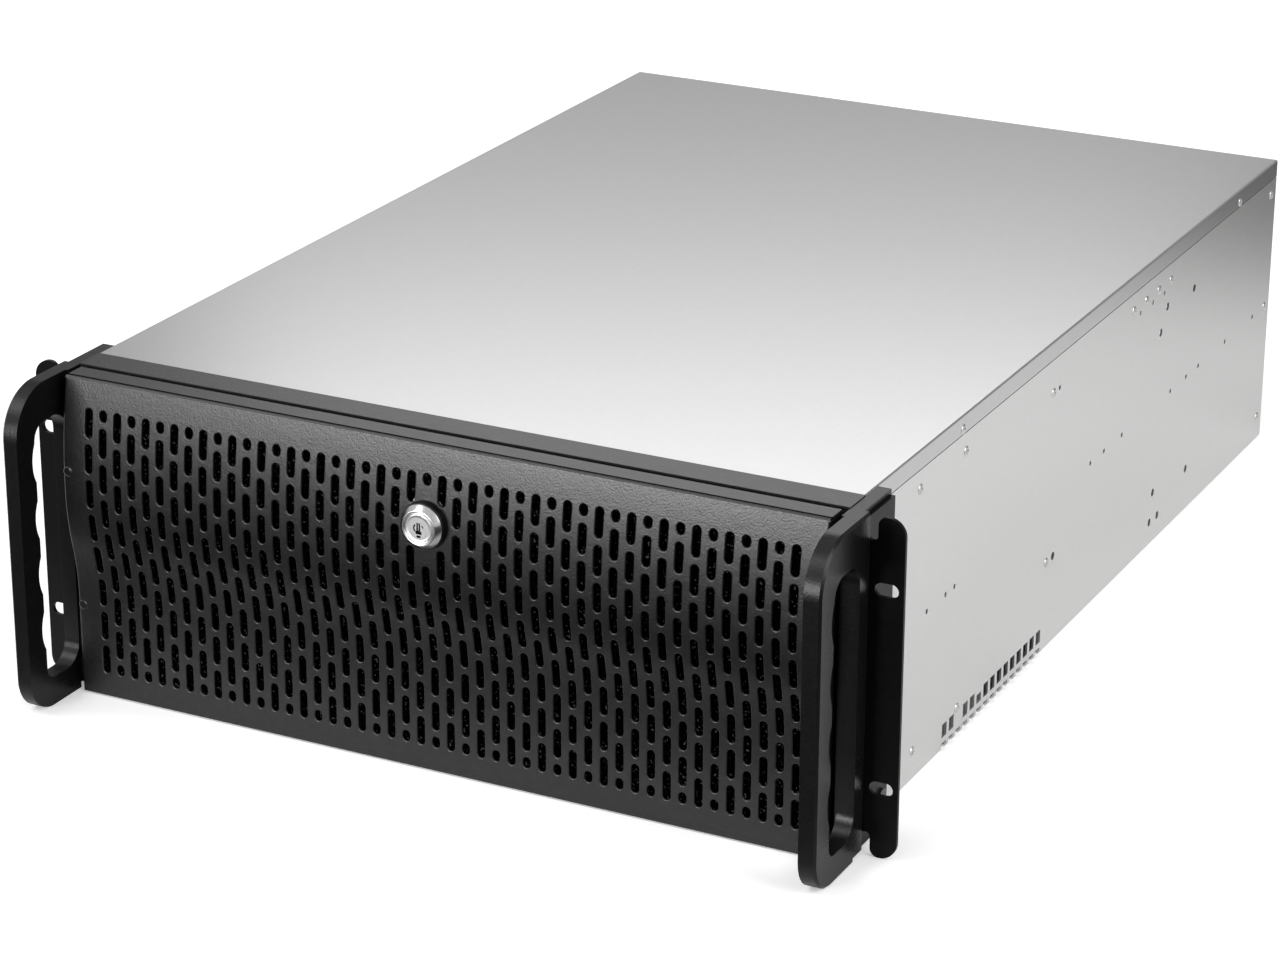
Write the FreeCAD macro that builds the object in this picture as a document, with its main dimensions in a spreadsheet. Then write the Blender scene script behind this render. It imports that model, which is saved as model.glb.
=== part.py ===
"""Empty 19-inch, four-unit rackmount server case.

A galvanised sheet-steel tray with a screwed cover and rear panel, closed at the front by a black
frame and a drop-down door. The door's face is one sheet bent to a slow wave and punched with
staggered slots; it hangs on two pins along its lower edge and locks at the top with a cam lock.
Moulded handles and folded rack ears stand on both sides.

Frame: +X right as seen from the front, +Y towards the rear, +Z up, origin at the middle of the
floor under the case. Every sub-part is drawn from the front edge of the top cover (y = 0), and
its placement then moves it to the common origin. Millimetres.
"""

import FreeCAD
import Part
import Sketcher
import os
import re

doc = FreeCAD.newDocument("rack_case")

# ---------------------------------------------------------------- sizes
SIZES = {
    # case body
    "body_width": 427.0,
    "body_height": 176.0,
    "body_depth": 609.0,
    "wall": 1.2,
    "corner_bend": 2.0,
    "seat_gap": 0.2,
    # rim that carries the cover, and the cover
    "cover_wall": 1.0,
    "cover_flange": 10.0,
    "rim_width": 12.0,
    "tongue": 14.0,
    "hole_play": 0.05,
    "panel_inset": 1.4,
    # punchings of the sides, measured from the cover's front edge
    "vent_pitch": 9.2,
    "vent_first": 108.0,
    "vent_count": 15,
    "vent_width": 6.2,
    "vent_low_top": 4.2,
    "vent_high_low": 7.3,
    "vent_high_top": 14.7,
    "vent_short_top": 12.2,
    "small_hole": 2.8,
    "large_hole": 4.6,
    "rivet_head": 5.6,
    "rivet_rise": 0.7,
    "rivet_shank": 2.6,
    # front frame
    "frame_depth": 17.5,
    "bay_width": 116.0,
    "bay_low": 8.0,
    "bay_high": 118.0,
    "window_gap": 6.0,
    # door
    "door_width": 422.0,
    "door_wall": 1.2,
    "door_bottom": 1.0,
    "door_seam": 0.5,
    "door_face": 32.6,
    "door_crest": 39.9,
    "foot_height": 52.0,
    "crest_height": 115.0,
    "crown_radius": 300.0,
    "crown_bend": 4.0,
    "door_screw": 2.5,
    "door_screw_head": 6.0,
    "door_screw_inset": 3.0,
    # slots of the door
    "slot_pitch": 8.5,
    "slot_rise": 19.0,
    "slot_rows": 8,
    "slot_pairs": 11,
    "slot_width": 4.2,
    "slot_web": 3.5,
    "slot_top": 162.4,
    # door hinge
    "hinge_back": 28.6,
    "hinge_height": 9.0,
    "hinge_pin": 3.0,
    "running_fit": 0.05,
    "lug_radius": 2.4,
    "lug_gap": 0.4,
    "lug_wall": 1.9,
    # filter behind the door
    "filter_gap": 0.3,
    "filter_thick": 3.0,
    "filter_half": 203.0,
    "filter_top": 170.0,
    "filter_bottom": 10.0,
    "strip_bottom": 14.0,
    "strip_wall": 1.5,
    "strip_lip": 5.0,
    # door lock
    "lock_height": 135.6,
    "lock_front": 47.2,
    "lock_head": 19.6,
    "lock_head_length": 5.4,
    "lock_body": 16.0,
    "lock_back": 20.0,
    "lock_lip": 0.5,
    "ring_outside": 23.0,
    "plug_size": 11.0,
    "plug_stub": 6.0,
    "key_slot": 1.4,
    "key_length": 6.5,
    "nut_across": 24.0,
    "nut_thick": 3.0,
    "cam_wall": 2.0,
    "cam_width": 12.0,
    "cam_reach": 26.0,
    "cam_clearance": 1.5,
    "cam_nut": 9.0,
    # handles
    "handle_reach": 72.0,
    "handle_inside": 215.0,
    "handle_outside": 224.0,
    "handle_top": 175.5,
    "handle_top_bend": 26.0,
    "handle_low_bend": 19.0,
    "handle_step": 3.0,
    "handle_leg": 28.5,
    "handle_base": 220.5,
    "handle_tail": 14.0,
    "handle_bevel": 1.2,
    "grip_front": 57.0,
    "grip_low": 15.0,
    "grip_high": 155.0,
    "grip_bend": 12.0,
    "finger_pitch": 30.6,
    "finger_first": 43.0,
    "finger_depth": 2.6,
    "finger_radius": 22.0,
    # rack ears
    "rack_width": 482.6,
    "ear_height": 174.0,
    "ear_wall": 2.0,
    "ear_front": 17.0,
    "ear_drop": 3.0,
    "ear_corner": 9.0,
    "ear_relief": 5.0,
    "ear_relief_depth": 12.5,
    "rack_hole_span": 465.1,
    "rack_hole_rise": 101.6,
    "rack_hole_width": 7.0,
    "rack_hole_length": 12.0,
    "ear_screw": 4.0,
    "ear_screw_head": 8.0,
    "ear_screw_inset": 20.0,
    "ear_screw_place": 7.0,
    # rear panel
    "supply_width": 150.0,
    "supply_height": 86.0,
    "supply_centre": -126.0,
    "supply_bottom": 78.0,
    "shield_width": 158.75,
    "shield_height": 44.45,
    "shield_centre": -121.0,
    "shield_bottom": 14.0,
    "card_pitch": 20.32,
    "card_width": 14.0,
    "card_height": 105.0,
    "card_bottom": 12.0,
    "card_first": -20.0,
    "card_count": 7,
    "blank_width": 18.4,
    "blank_wall": 0.9,
    "blank_overlap": 2.0,
    "blank_tab": 12.0,
    "blank_screw": 3.0,
    "blank_screw_head": 6.4,
    "fan_centre": 163.0,
    "fan_low": 46.0,
    "fan_rise": 82.0,
    "fan_hole": 74.0,
    "fan_screw": 4.4,
    "fan_screw_pitch": 71.5,
    "panel_flange": 14.0,
    # inside
    "cage_wall": 1.0,
    "cage_bend": 2.0,
    "cage_width": 132.0,
    "cage_height": 156.0,
    "cage_depth": 146.0,
    "cage_front": 16.0,
    "cage_slot": 8.0,
    "cage_slots": 5,
    "fan_wall_place": 238.0,
    "fan_wall_height": 150.0,
    "fan_wall_hole": 113.0,
    "fan_wall_flange": 12.0,
    "brace_front": 362.0,
    "brace_depth": 64.0,
    "brace_height": 14.0,
    "board_right": 88.9,
    "board_wide": 157.48,
    "board_narrow": 124.46,
    "board_back": 585.8,
    "board_long": 154.94,
    "board_short": 72.39,
    "standoff_across": 6.0,
    "standoff_height": 6.5,
    # switches and ports on the front frame
    "panel_centre": -150.0,
    "panel_height": 146.0,
    "panel_block_width": 74.0,
    "panel_block_height": 20.0,
    "panel_block_depth": 14.0,
    "button_size": 9.0,
    "reset_size": 4.0,
    "button_travel": 1.5,
    "button_rise": 2.0,
    "button_fit": 0.3,
    "port_width": 13.2,
    "port_height": 5.8,
    "lamp_size": 3.0,
}

sheet = doc.addObject("Spreadsheet::Sheet", "Sizes")
for row, (name, number) in enumerate(SIZES.items(), start=1):
    sheet.set(f"A{row}", name)
    sheet.set(f"B{row}", str(number))
    sheet.setAlias(f"B{row}", name)
doc.recompute()

WORD = re.compile(r"[a-z][a-z_]+")
TO_ORIGIN = "handle_reach / 2 - body_depth / 2"


# ---------------------------------------------------------------- drawing helpers
def linked(text):
    """Expression text in which every size name points at the sheet."""
    return WORD.sub(lambda hit: "Sizes." + hit.group() if hit.group() in SIZES else hit.group(), str(text))


def measure(text):
    """Value of an expression of sizes."""
    return float(sheet.evalExpression(linked(text)))


def bind(target, prop, text):
    """Tie a property to an expression of sizes."""
    target.setExpression(prop, linked(text))


def new_body(label):
    """Empty body, placed with the others so that the origin lies under the middle of the case."""
    body = doc.addObject("PartDesign::Body", label)
    body.Label = label
    bind(body, "Placement.Base.y", TO_ORIGIN)
    return body


def plane(body, role):
    """One of the body's own origin planes or axes."""
    return next(item for item in body.Origin.OriginFeatures if item.Role == role)


def arc_centre(start, end, radius):
    """Centre of the short arc between two points, on the left of the way for a positive radius."""
    way = end - start
    height = max(radius * radius - way.Length * way.Length / 4, 0.0) ** 0.5
    left = FreeCAD.Vector(-way.y, way.x, 0).normalize()
    return (start + end) * 0.5 + left * (height if radius > 0 else -height)


def draw_outline(sketch, corners):
    """Closed outline of (across, up) corners; a third entry is the radius of the arc leading on."""
    points = [FreeCAD.Vector(measure(corner[0]), measure(corner[1]), 0) for corner in corners]
    first = sketch.GeometryCount
    shapes = []
    ends = []
    for i, corner in enumerate(corners):
        start = points[i]
        end = points[(i + 1) % len(points)]
        if len(corner) == 2:
            shapes.append(Part.LineSegment(start, end))
            ends.append((1, 2))
            continue
        radius = measure(corner[2])
        circle = Part.Circle(arc_centre(start, end, radius), FreeCAD.Vector(0, 0, 1), abs(radius))
        tail, head = (start, end) if radius > 0 else (end, start)
        shapes.append(Part.ArcOfCircle(circle, circle.parameter(tail), circle.parameter(head)))
        ends.append((1, 2) if radius > 0 else (2, 1))
    sketch.addGeometry(shapes, False)
    rules = []
    for i, corner in enumerate(corners):
        here = first + i
        back = first + (i - 1) % len(corners)
        begin = ends[i][0]
        close = ends[(i - 1) % len(corners)][1]
        rules.append((Sketcher.Constraint("Coincident", back, close, here, begin), None))
        rules.append((Sketcher.Constraint("DistanceX", -1, 1, here, begin, points[i].x), corner[0]))
        rules.append((Sketcher.Constraint("DistanceY", -1, 1, here, begin, points[i].y), corner[1]))
        if len(corner) == 2:
            continue
        after = corners[(i + 1) % len(corners)]
        way = points[(i + 1) % len(points)] - points[i]
        radius = abs(measure(corner[2]))
        if way.Length < 1.9999 * radius:
            rules.append((Sketcher.Constraint("Radius", here, radius), f"abs({corner[2]})"))
            continue
        side = 0 if abs(way.x) < abs(way.y) else 1
        middle = f"(({corner[side]}) + ({after[side]})) / 2"
        rules.append((Sketcher.Constraint(("DistanceX", "DistanceY")[side], -1, 1, here, 3, measure(middle)), middle))
    add_rules(sketch, rules)


def draw_circle(sketch, across, up, radius):
    """Circle at a centre given by expressions."""
    here = sketch.GeometryCount
    centre = FreeCAD.Vector(measure(across), measure(up), 0)
    sketch.addGeometry(Part.Circle(centre, FreeCAD.Vector(0, 0, 1), measure(radius)), False)
    rules = [
        (Sketcher.Constraint("DistanceX", -1, 1, here, 3, centre.x), across),
        (Sketcher.Constraint("DistanceY", -1, 1, here, 3, centre.y), up),
        (Sketcher.Constraint("Radius", here, measure(radius)), radius),
    ]
    add_rules(sketch, rules)


def add_rules(sketch, rules):
    """Add constraints and tie each dimension to its expression."""
    count = sketch.ConstraintCount
    for i, (rule, text) in enumerate(rules):
        if text is not None:
            rule.Name = f"size{count + i}"
    sketch.addConstraint([rule for rule, text in rules])
    for i, (rule, text) in enumerate(rules):
        if text is not None:
            bind(sketch, f"Constraints.size{count + i}", text)


def box(left, right, low, high):
    """Rectangular outline."""
    return [(left, low), (right, low), (right, high), (left, high)]


def stadium(across, up, length, width):
    """Slot outline with round ends, long side across."""
    half = f"(({length}) - ({width})) / 2"
    near = f"({across}) - {half}"
    far = f"({across}) + {half}"
    low = f"({up}) - ({width}) / 2"
    high = f"({up}) + ({width}) / 2"
    return [(near, low), (far, low, f"{width} / 2"), (far, high), (near, high, f"{width} / 2")]


PLANES = {"x": ("YZ_Plane", 1), "y": ("XZ_Plane", -1), "z": ("XY_Plane", 1)}


def new_sketch(body, axis, level, shapes):
    """Sketch square to an axis at a level, holding outlines (lists) and circles (tuples)."""
    role, sense = PLANES[axis]
    sketch = body.newObject("Sketcher::SketchObject", body.Label + "_sketch")
    sketch.AttachmentSupport = [(plane(body, role), "")]
    sketch.MapMode = "FlatFace"
    bind(sketch, "AttachmentOffset.Base.z", level if sense > 0 else f"-({level})")
    for shape in shapes:
        if isinstance(shape, tuple):
            draw_circle(sketch, *shape)
        else:
            draw_outline(sketch, shape)
    return sketch


def pad(body, axis, low, high, shapes):
    """Add material between two levels along an axis."""
    sketch = new_sketch(body, axis, low, shapes)
    feature = body.newObject("PartDesign::Pad", body.Label + "_pad")
    feature.Profile = sketch
    feature.Reversed = axis == "y"
    bind(feature, "Length", f"({high}) - ({low})")
    doc.recompute()
    return feature


def pocket(body, axis, low, high, shapes):
    """Remove material between two levels along an axis."""
    before = body.Shape.Volume
    sketch = new_sketch(body, axis, low, shapes)
    feature = body.newObject("PartDesign::Pocket", body.Label + "_pocket")
    feature.Profile = sketch
    feature.Reversed = axis != "y"
    bind(feature, "Length", f"({high}) - ({low})")
    doc.recompute()
    if "Invalid" in sketch.State + feature.State or body.Shape.Volume >= before - 1e-6:
        raise RuntimeError(f"{feature.Label} removes nothing")
    return feature


def mirror(body, features, role="YZ_Plane"):
    """Repeat features on the other side of an origin plane."""
    twin = body.newObject("PartDesign::Mirrored", body.Label + "_twin")
    twin.Originals = features
    twin.MirrorPlane = (plane(body, role), [""])
    body.Tip = twin
    doc.recompute()
    return twin


def edges_where(body, wanted):
    """Names of the body's edges for which the test on the edge holds."""
    found = [f"Edge{i}" for i, edge in enumerate(body.Shape.Edges, start=1) if wanted(edge)]
    if not found:
        raise RuntimeError(f"{body.Label}: no edge to round")
    return found


def round_edges(body, radius, wanted, kind="Fillet", prop="Radius"):
    """Fillet (or chamfer) the edges for which the test holds."""
    base = body.Tip
    names = edges_where(body, wanted)
    feature = body.newObject("PartDesign::" + kind, body.Label + "_" + kind.lower())
    feature.Base = (base, names)
    bind(feature, prop, radius)
    doc.recompute()
    if "Invalid" in feature.State:
        raise RuntimeError(f"{feature.Label} failed on {names}")
    return feature


def opposite(label, source):
    """Mirror image of a sub-part on the other side of the case."""
    twin = doc.addObject("Part::Mirroring", label)
    twin.Label = label
    twin.Source = source
    twin.Normal = FreeCAD.Vector(1, 0, 0)
    doc.recompute()
    return twin


# ---------------------------------------------------------------- the door's wave
WAVE_RADIUS = "(((crest_height - foot_height)^2 + (door_crest - door_face)^2) / (4 * (door_crest - door_face)))"


def wave_up(depth, low, high):
    """Corners up the wave, from low to high, on the surface a depth behind the door's face.

    Straight to the foot, two equal arcs out to the crest, then one slow arc back to the top.
    """
    outward = f"({WAVE_RADIUS} + ({depth}))"
    inward = f"({WAVE_RADIUS} - ({depth}))"
    crown = f"(crown_radius - ({depth}))"
    turn_back = f"outward_turn * (2 * {WAVE_RADIUS} - door_crest + door_face) / (2 * {WAVE_RADIUS})"
    turn_up = f"outward_turn * (crest_height - foot_height) / (2 * {WAVE_RADIUS})"
    return [
        (f"-door_face + ({depth})", low),
        (f"-door_face + ({depth})", "foot_height", outward),
        (
            f"-door_face - {WAVE_RADIUS} + " + turn_back.replace("outward_turn", outward),
            "foot_height + " + turn_up.replace("outward_turn", outward),
            f"-{inward}",
        ),
        (f"-door_crest + ({depth})", "crest_height", f"-{crown}"),
        (crown_at(depth, high), high),
    ]


def crown_at(depth, height):
    """Place of the wave's upper arc at a height, a depth behind the face."""
    return (
        f"-door_crest + crown_radius"
        f" - sqrt((crown_radius - ({depth}))^2 - (({height}) - crest_height)^2)"
    )


def wave_down(depth, low, high):
    """The same corners from the top down."""
    up = wave_up(depth, low, high)
    down = []
    for i in range(len(up) - 1, -1, -1):
        place = up[i][:2]
        arc = up[i - 1][2:] if i > 0 else ()
        down.append(place + tuple(f"-({radius})" for radius in arc))
    return down


def wave_band(front, back, low, high):
    """Closed band between two depths behind the door's face."""
    return wave_up(front, low, high) + wave_down(back, low, high)


# ---------------------------------------------------------------- case body
SIDE_HOLES = [
    ("79.4", "86.6"), ("103.3", "86.6"), ("114.8", "86.6"), ("305.4", "86.6"), ("326.3", "86.6"),
    ("354.1", "86.6"), ("433.1", "86.6"), ("459.8", "86.6"), ("480.8", "86.6"), ("528.1", "86.6"),
    ("578.4", "86.6"), ("252.7", "147.1"), ("374.6", "151"), ("394.9", "151"), ("413.4", "151"),
]
SIDE_LARGE_HOLES = [
    ("420.2", "141"), ("411", "128.4"), ("465.6", "138.3"), ("468.4", "27.1"), ("412", "32.2"),
    ("422", "14.9"), ("408.9", "14.9"), ("253.6", "51.7"),
]


def cage_screw_places():
    """Side screws of the outer drive cages, as (along, up)."""
    return [(y, z) for y in ("66.5", "124") for z in ("16.3", "155.5")]


def wall_screw_places():
    """Side screws of the fan wall."""
    middle = "fan_wall_place + fan_wall_flange / 2"
    return [(middle, "51.4"), (middle, "146.8")]


def brace_screw_places():
    """Side screws of the top brace."""
    return [(f"brace_front + brace_depth * {share} / 64", "155.4") for share in (2, 22, 42, 62)]


def panel_screw_places():
    """Side screws of the rear panel."""
    return [("body_depth - panel_inset - panel_flange / 2", z) for z in ("15.5", "86.5", "156.6")]


def cover_screw_places():
    """Screws through the cover's flanges, two a side."""
    return [(y, "body_height - cover_flange * 0.75") for y in ("119.1", "540.9")]


def ear_screw_places():
    """Screws through ear, handle base and case side."""
    return [("ear_screw_place", up) for up in ear_screw_heights()]


def round_holes(places, size):
    """Holes for shanks of a diameter."""
    return [(across, up, f"{size} / 2 + hole_play") for across, up in places]


def make_tray():
    """Bottom and sides in one folded sheet, with a stepped-in rim for the cover."""
    body = new_body("chassis_tray")
    side = "body_width / 2"
    rim = "body_width / 2 - cover_wall - seat_gap"
    step = "body_height - cover_flange - 0.5"
    top = "body_height - cover_wall - seat_gap"
    right = [
        (side, "0"),
        (side, step),
        (rim, step),
        (rim, top),
        (f"{rim} - rim_width", top),
        (f"{rim} - rim_width", f"{top} - wall"),
        (f"{rim} - wall", f"{top} - wall"),
        (f"{rim} - wall", f"{step} - wall"),
        (f"{side} - wall", f"{step} - wall"),
        (f"{side} - wall", "wall"),
    ]
    left = [(f"-({across})", up) for across, up in reversed(right)]
    pad(body, "y", "0", "body_depth", [right + left])
    floor = measure("wall")
    half = measure("body_width / 2")
    round_edges(body, "corner_bend", lambda e: is_along(e, "y") and at(e, x=half, z=0.0))
    round_edges(body, "corner_bend - wall", lambda e: is_along(e, "y") and at(e, x=half - floor, z=floor))
    holes = [(y, z, "small_hole / 2") for y, z in SIDE_HOLES]
    holes += [(y, z, "large_hole / 2") for y, z in SIDE_LARGE_HOLES]
    rivets = cage_screw_places() + wall_screw_places() + brace_screw_places() + panel_screw_places()
    holes += round_holes(rivets + cover_screw_places(), "rivet_shank")
    holes += round_holes(ear_screw_places(), "ear_screw")
    pocket(body, "x", f"-({side} + 1)", f"{side} + 1", holes)
    vents = []
    for i in range(int(measure("vent_count"))):
        centre = f"vent_first + {i} * vent_pitch"
        ends = (f"{centre} - vent_width / 2", f"{centre} + vent_width / 2")
        vents.append(box(*ends, "-1", "vent_low_top"))
        if i == 2:
            continue
        vents.append(box(*ends, "vent_high_low", "vent_short_top" if i == 5 else "vent_high_top"))
    feature = pocket(body, "x", f"{side} - wall - 1", f"{side} + 1", vents)
    mirror(body, [feature])
    rims = box(f"-({side} + 1)", f"{side} + 1", step, "body_height + 1")
    pocket(body, "y", "body_depth - cover_wall - seat_gap", "body_depth + 1", [rims])
    return body


def is_along(edge, axis):
    """Whether an edge is straight along an axis."""
    if edge.Curve.TypeId != "Part::GeomLine":
        return False
    way = edge.Vertexes[-1].Point - edge.Vertexes[0].Point
    return abs(getattr(way, axis)) > 0.999 * way.Length


def at(edge, **places):
    """Whether an edge's middle lies at the given distances, on either side of the case."""
    centre = edge.CenterOfMass
    return all(abs(abs(getattr(centre, axis)) - abs(place)) < 0.01 for axis, place in places.items())


def make_cover():
    """Top cover with side flanges, a rear flange and a front tongue under the frame's lip."""
    body = new_body("top_cover")
    side = "body_width / 2"
    low = "body_height - cover_flange"
    inner = f"{side} - cover_wall"
    top_under = "body_height - cover_wall"
    outline = [
        (f"-({side})", low), (f"-({inner})", low), (f"-({inner})", top_under), (inner, top_under),
        (inner, low), (side, low), (side, "body_height"), (f"-({side})", "body_height"),
    ]
    pad(body, "y", "0", "body_depth", [outline])
    half = measure("body_width / 2")
    height = measure("body_height")
    round_edges(body, "cover_wall", lambda e: is_along(e, "y") and at(e, x=half, z=height))
    rear = box(f"-({side} - 0.5)", f"{side} - 0.5", low, top_under)
    pad(body, "y", "body_depth - cover_wall", "body_depth", [rear])
    pocket(body, "x", f"-({side} + 1)", f"{side} + 1", round_holes(cover_screw_places(), "rivet_shank"))
    return body


def foot_corners(half):
    """Lower edge of a cross wall, with its corners cut clear of the tray's bends."""
    return [
        (f"-{half}", "wall + corner_bend"),
        (f"-({half} - corner_bend)", "wall"),
        (f"{half} - corner_bend", "wall"),
        (half, "wall + corner_bend"),
    ]


def make_rear_panel():
    """Rear panel: supply, board shield, fan and card openings, with flanges to the sides."""
    body = new_body("rear_panel")
    half = "(body_width / 2 - wall - seat_gap / 2)"
    inset = "(cover_wall + seat_gap)"
    top = "body_height - cover_wall - seat_gap - wall - seat_gap"
    shoulder = "body_height - cover_flange - 0.5 - wall - seat_gap"
    back = "body_depth - panel_inset"
    face = foot_corners(half) + [
        (half, shoulder), (f"{half} - {inset}", shoulder),
        (f"{half} - {inset}", top), (f"-({half} - {inset})", top), (f"-({half} - {inset})", shoulder),
        (f"-{half}", shoulder),
    ]
    pad(body, "y", f"{back} - wall", back, [face])
    flange = box(f"{half} - wall", half, "wall + corner_bend", f"{shoulder} - 1")
    mirror(body, [pad(body, "y", f"{back} - panel_flange", f"{back} - wall / 2", [flange])])
    openings = [
        box(
            "supply_centre - supply_width / 2", "supply_centre + supply_width / 2",
            "supply_bottom", "supply_bottom + supply_height",
        ),
        box(
            "shield_centre - shield_width / 2", "shield_centre + shield_width / 2",
            "shield_bottom", "shield_bottom + shield_height",
        ),
    ]
    for i in range(int(measure("card_count"))):
        centre = f"card_first + {i} * card_pitch"
        ends = (f"{centre} - card_width / 2", f"{centre} + card_width / 2")
        openings.append(box(*ends, "card_bottom", "card_bottom + card_height"))
        openings.append((centre, "card_bottom + card_height + blank_tab / 2", "blank_screw / 2"))
    for i in range(2):
        up = f"fan_low + {i} * fan_rise"
        openings.append(("fan_centre", up, "fan_hole / 2"))
        for across in ("-", "+"):
            for rise in ("-", "+"):
                openings.append((
                    f"fan_centre {across} fan_screw_pitch / 2",
                    f"{up} {rise} fan_screw_pitch / 2", "fan_screw / 2",
                ))
    pocket(body, "y", f"{back} - wall - 1", f"{back} + 1", openings)
    pocket(body, "x", f"-({half} + 1)", f"{half} + 1", round_holes(panel_screw_places(), "rivet_shank"))
    return body


def make_slot_blank(number):
    """Blank that closes one card opening from inside."""
    body = new_body(f"slot_blank_{number + 1}")
    centre = f"card_first + {number} * card_pitch"
    back = "body_depth - panel_inset - wall"
    top = "card_bottom + card_height + blank_tab"
    outline = box(
        f"{centre} - blank_width / 2", f"{centre} + blank_width / 2", "card_bottom - blank_overlap", top
    )
    pad(body, "y", f"{back} - blank_wall", back, [outline])
    pocket(
        body, "y", f"{back} - blank_wall - 1", f"{back} + 1",
        [(centre, "card_bottom + card_height + blank_tab / 2", "blank_screw / 2")],
    )
    return body


def screw_group(label, axis, seat, sense, places, head, rise, shank, reach):
    """Like screws: low round heads on a seat, shanks through it.

    Args:
        seat: level of the surface under the heads; the heads stand on its outer side.
        sense: +1 where the heads face up the axis, -1 where they face down it.
        reach: how far the shanks go below the seat.
    """
    parts = []
    for number, (across, up) in enumerate(places, start=1):
        body = new_body(f"{label}_{number}")
        outer = f"{seat} + {rise}" if sense > 0 else f"{seat} - {rise}"
        inner = f"{seat} - ({reach})" if sense > 0 else f"{seat} + {reach}"
        heads = (seat, outer) if sense > 0 else (outer, seat)
        shanks = (inner, seat) if sense > 0 else (seat, inner)
        pad(body, axis, *heads, [(across, up, f"{head} / 2")])
        pad(body, axis, *shanks, [(across, up, f"{shank} / 2")])
        parts.append(body)
    return parts


# ---------------------------------------------------------------- front frame
def make_frame():
    """Black front frame: a folded pan with bay openings, a lock window and two hinge lugs."""
    body = new_body("front_frame")
    side = "body_width / 2"
    front = "-frame_depth"
    pad(body, "y", front, f"{front} + wall", [box(f"-({side})", side, "0", "body_height")])
    rim = [
        box(f"-({side})", side, "0", "body_height"),
        box(f"-({side} - wall)", f"{side} - wall", "wall", "body_height - wall"),
    ]
    pad(body, "y", f"{front} + wall / 2", "0", rim)
    tab = box(f"{side} - 2 * wall - seat_gap / 2", f"{side} - wall - seat_gap / 2", "10", "body_height - 24")
    mirror(body, [pad(body, "y", f"{front} + wall / 2", "tongue", [tab])])
    pocket(body, "x", f"-({side} + 1)", f"{side} + 1", round_holes(ear_screw_places(), "ear_screw"))
    shelf = box(f"-({side} - 30)", f"{side} - 30", "body_height - 3 * wall", "body_height - cover_wall - seat_gap")
    pad(body, "y", f"{front} + wall / 2", "tongue", [shelf])
    pitch = "(body_width / 2 - wall - cage_width / 2)"
    holes = []
    for place in (f"-{pitch}", "0", pitch):
        holes.append(box(f"{place} - bay_width / 2", f"{place} + bay_width / 2", "bay_low", "bay_high"))
    half = "(cam_width / 2 + window_gap)"
    holes.append(box(f"-{half}", "cam_reach + window_gap", f"lock_height - {half}", f"lock_height + {half}"))
    for across, size in button_places():
        holes.append((across, "panel_height", f"{size} / 2 + button_fit"))
    for across in port_places():
        holes.append(box(
            f"{across} - port_width / 2", f"{across} + port_width / 2",
            "panel_height - port_height / 2", "panel_height + port_height / 2",
        ))
    holes += [(across, "panel_height", "lamp_size / 2") for across in lamp_places()]
    pocket(body, "y", f"{front} - 1", f"{front} + wall + 1", holes)
    inner = "door_width / 2 - door_wall - lug_gap"
    lug = [
        ("-hinge_back", "hinge_height + lug_radius", "lug_radius"),
        ("-hinge_back - lug_radius", "hinge_height", "lug_radius"),
        ("-hinge_back", "hinge_height - lug_radius"),
        (f"{front} + wall / 2", "hinge_height - lug_radius"),
        (f"{front} + wall / 2", "hinge_height + lug_radius"),
    ]
    ear = pad(body, "x", f"{inner} - lug_wall", inner, [lug])
    bore = pocket(body, "x", f"{inner} - lug_wall - 1", f"{inner} + 1", [("-hinge_back", "hinge_height", "hinge_pin / 2")])
    mirror(body, [ear, bore])
    return body


def button_places():
    """Buttons on the front frame: centre across and diameter."""
    return [("panel_centre - 26", "button_size"), ("panel_centre - 12", "reset_size")]


def port_places():
    """Centres across of the two serial-bus ports."""
    return ["panel_centre + 8", "panel_centre + 26"]


def lamp_places():
    """Centres across of the two status lamps."""
    return ["panel_centre - 5", "panel_centre - 1 + lamp_size / 6"]


def make_control_block():
    """Moulded block behind the front frame that carries the switches, lamps and ports."""
    body = new_body("control_block")
    front = "-frame_depth + wall"
    left = "panel_centre - panel_block_width / 2"
    outline = box(
        left, f"{left} + panel_block_width",
        "panel_height - panel_block_height / 2", "panel_height + panel_block_height / 2",
    )
    pad(body, "y", front, f"{front} + panel_block_depth", [outline])
    holes = [(across, "panel_height", f"{size} / 2 + button_fit") for across, size in button_places()]
    holes += [
        box(
            f"{across} - port_width / 2", f"{across} + port_width / 2",
            "panel_height - port_height / 2", "panel_height + port_height / 2",
        )
        for across in port_places()
    ]
    holes += [(across, "panel_height", "lamp_size / 2") for across in lamp_places()]
    pocket(body, "y", f"{front} - 1", f"{front} + panel_block_depth - 3", holes)
    return body


def make_button(label, across, size):
    """Push button in its guide, standing a little proud of the frame."""
    body = new_body(label)
    front = "-frame_depth - button_rise"
    depth = "-frame_depth + wall + panel_block_depth - 3 - button_travel - button_fit"
    pad(body, "y", front, depth, [(across, "panel_height", f"{size} / 2")])
    face = measure(front)
    round_edges(
        body, "button_fit",
        lambda e: e.Curve.TypeId == "Part::GeomCircle" and abs(e.CenterOfMass.y - face - shift_y()) < 0.01,
        "Chamfer", "Size",
    )
    return body


def shift_y():
    """How far the common placement moves every sub-part along Y."""
    return measure(TO_ORIGIN)


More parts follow.
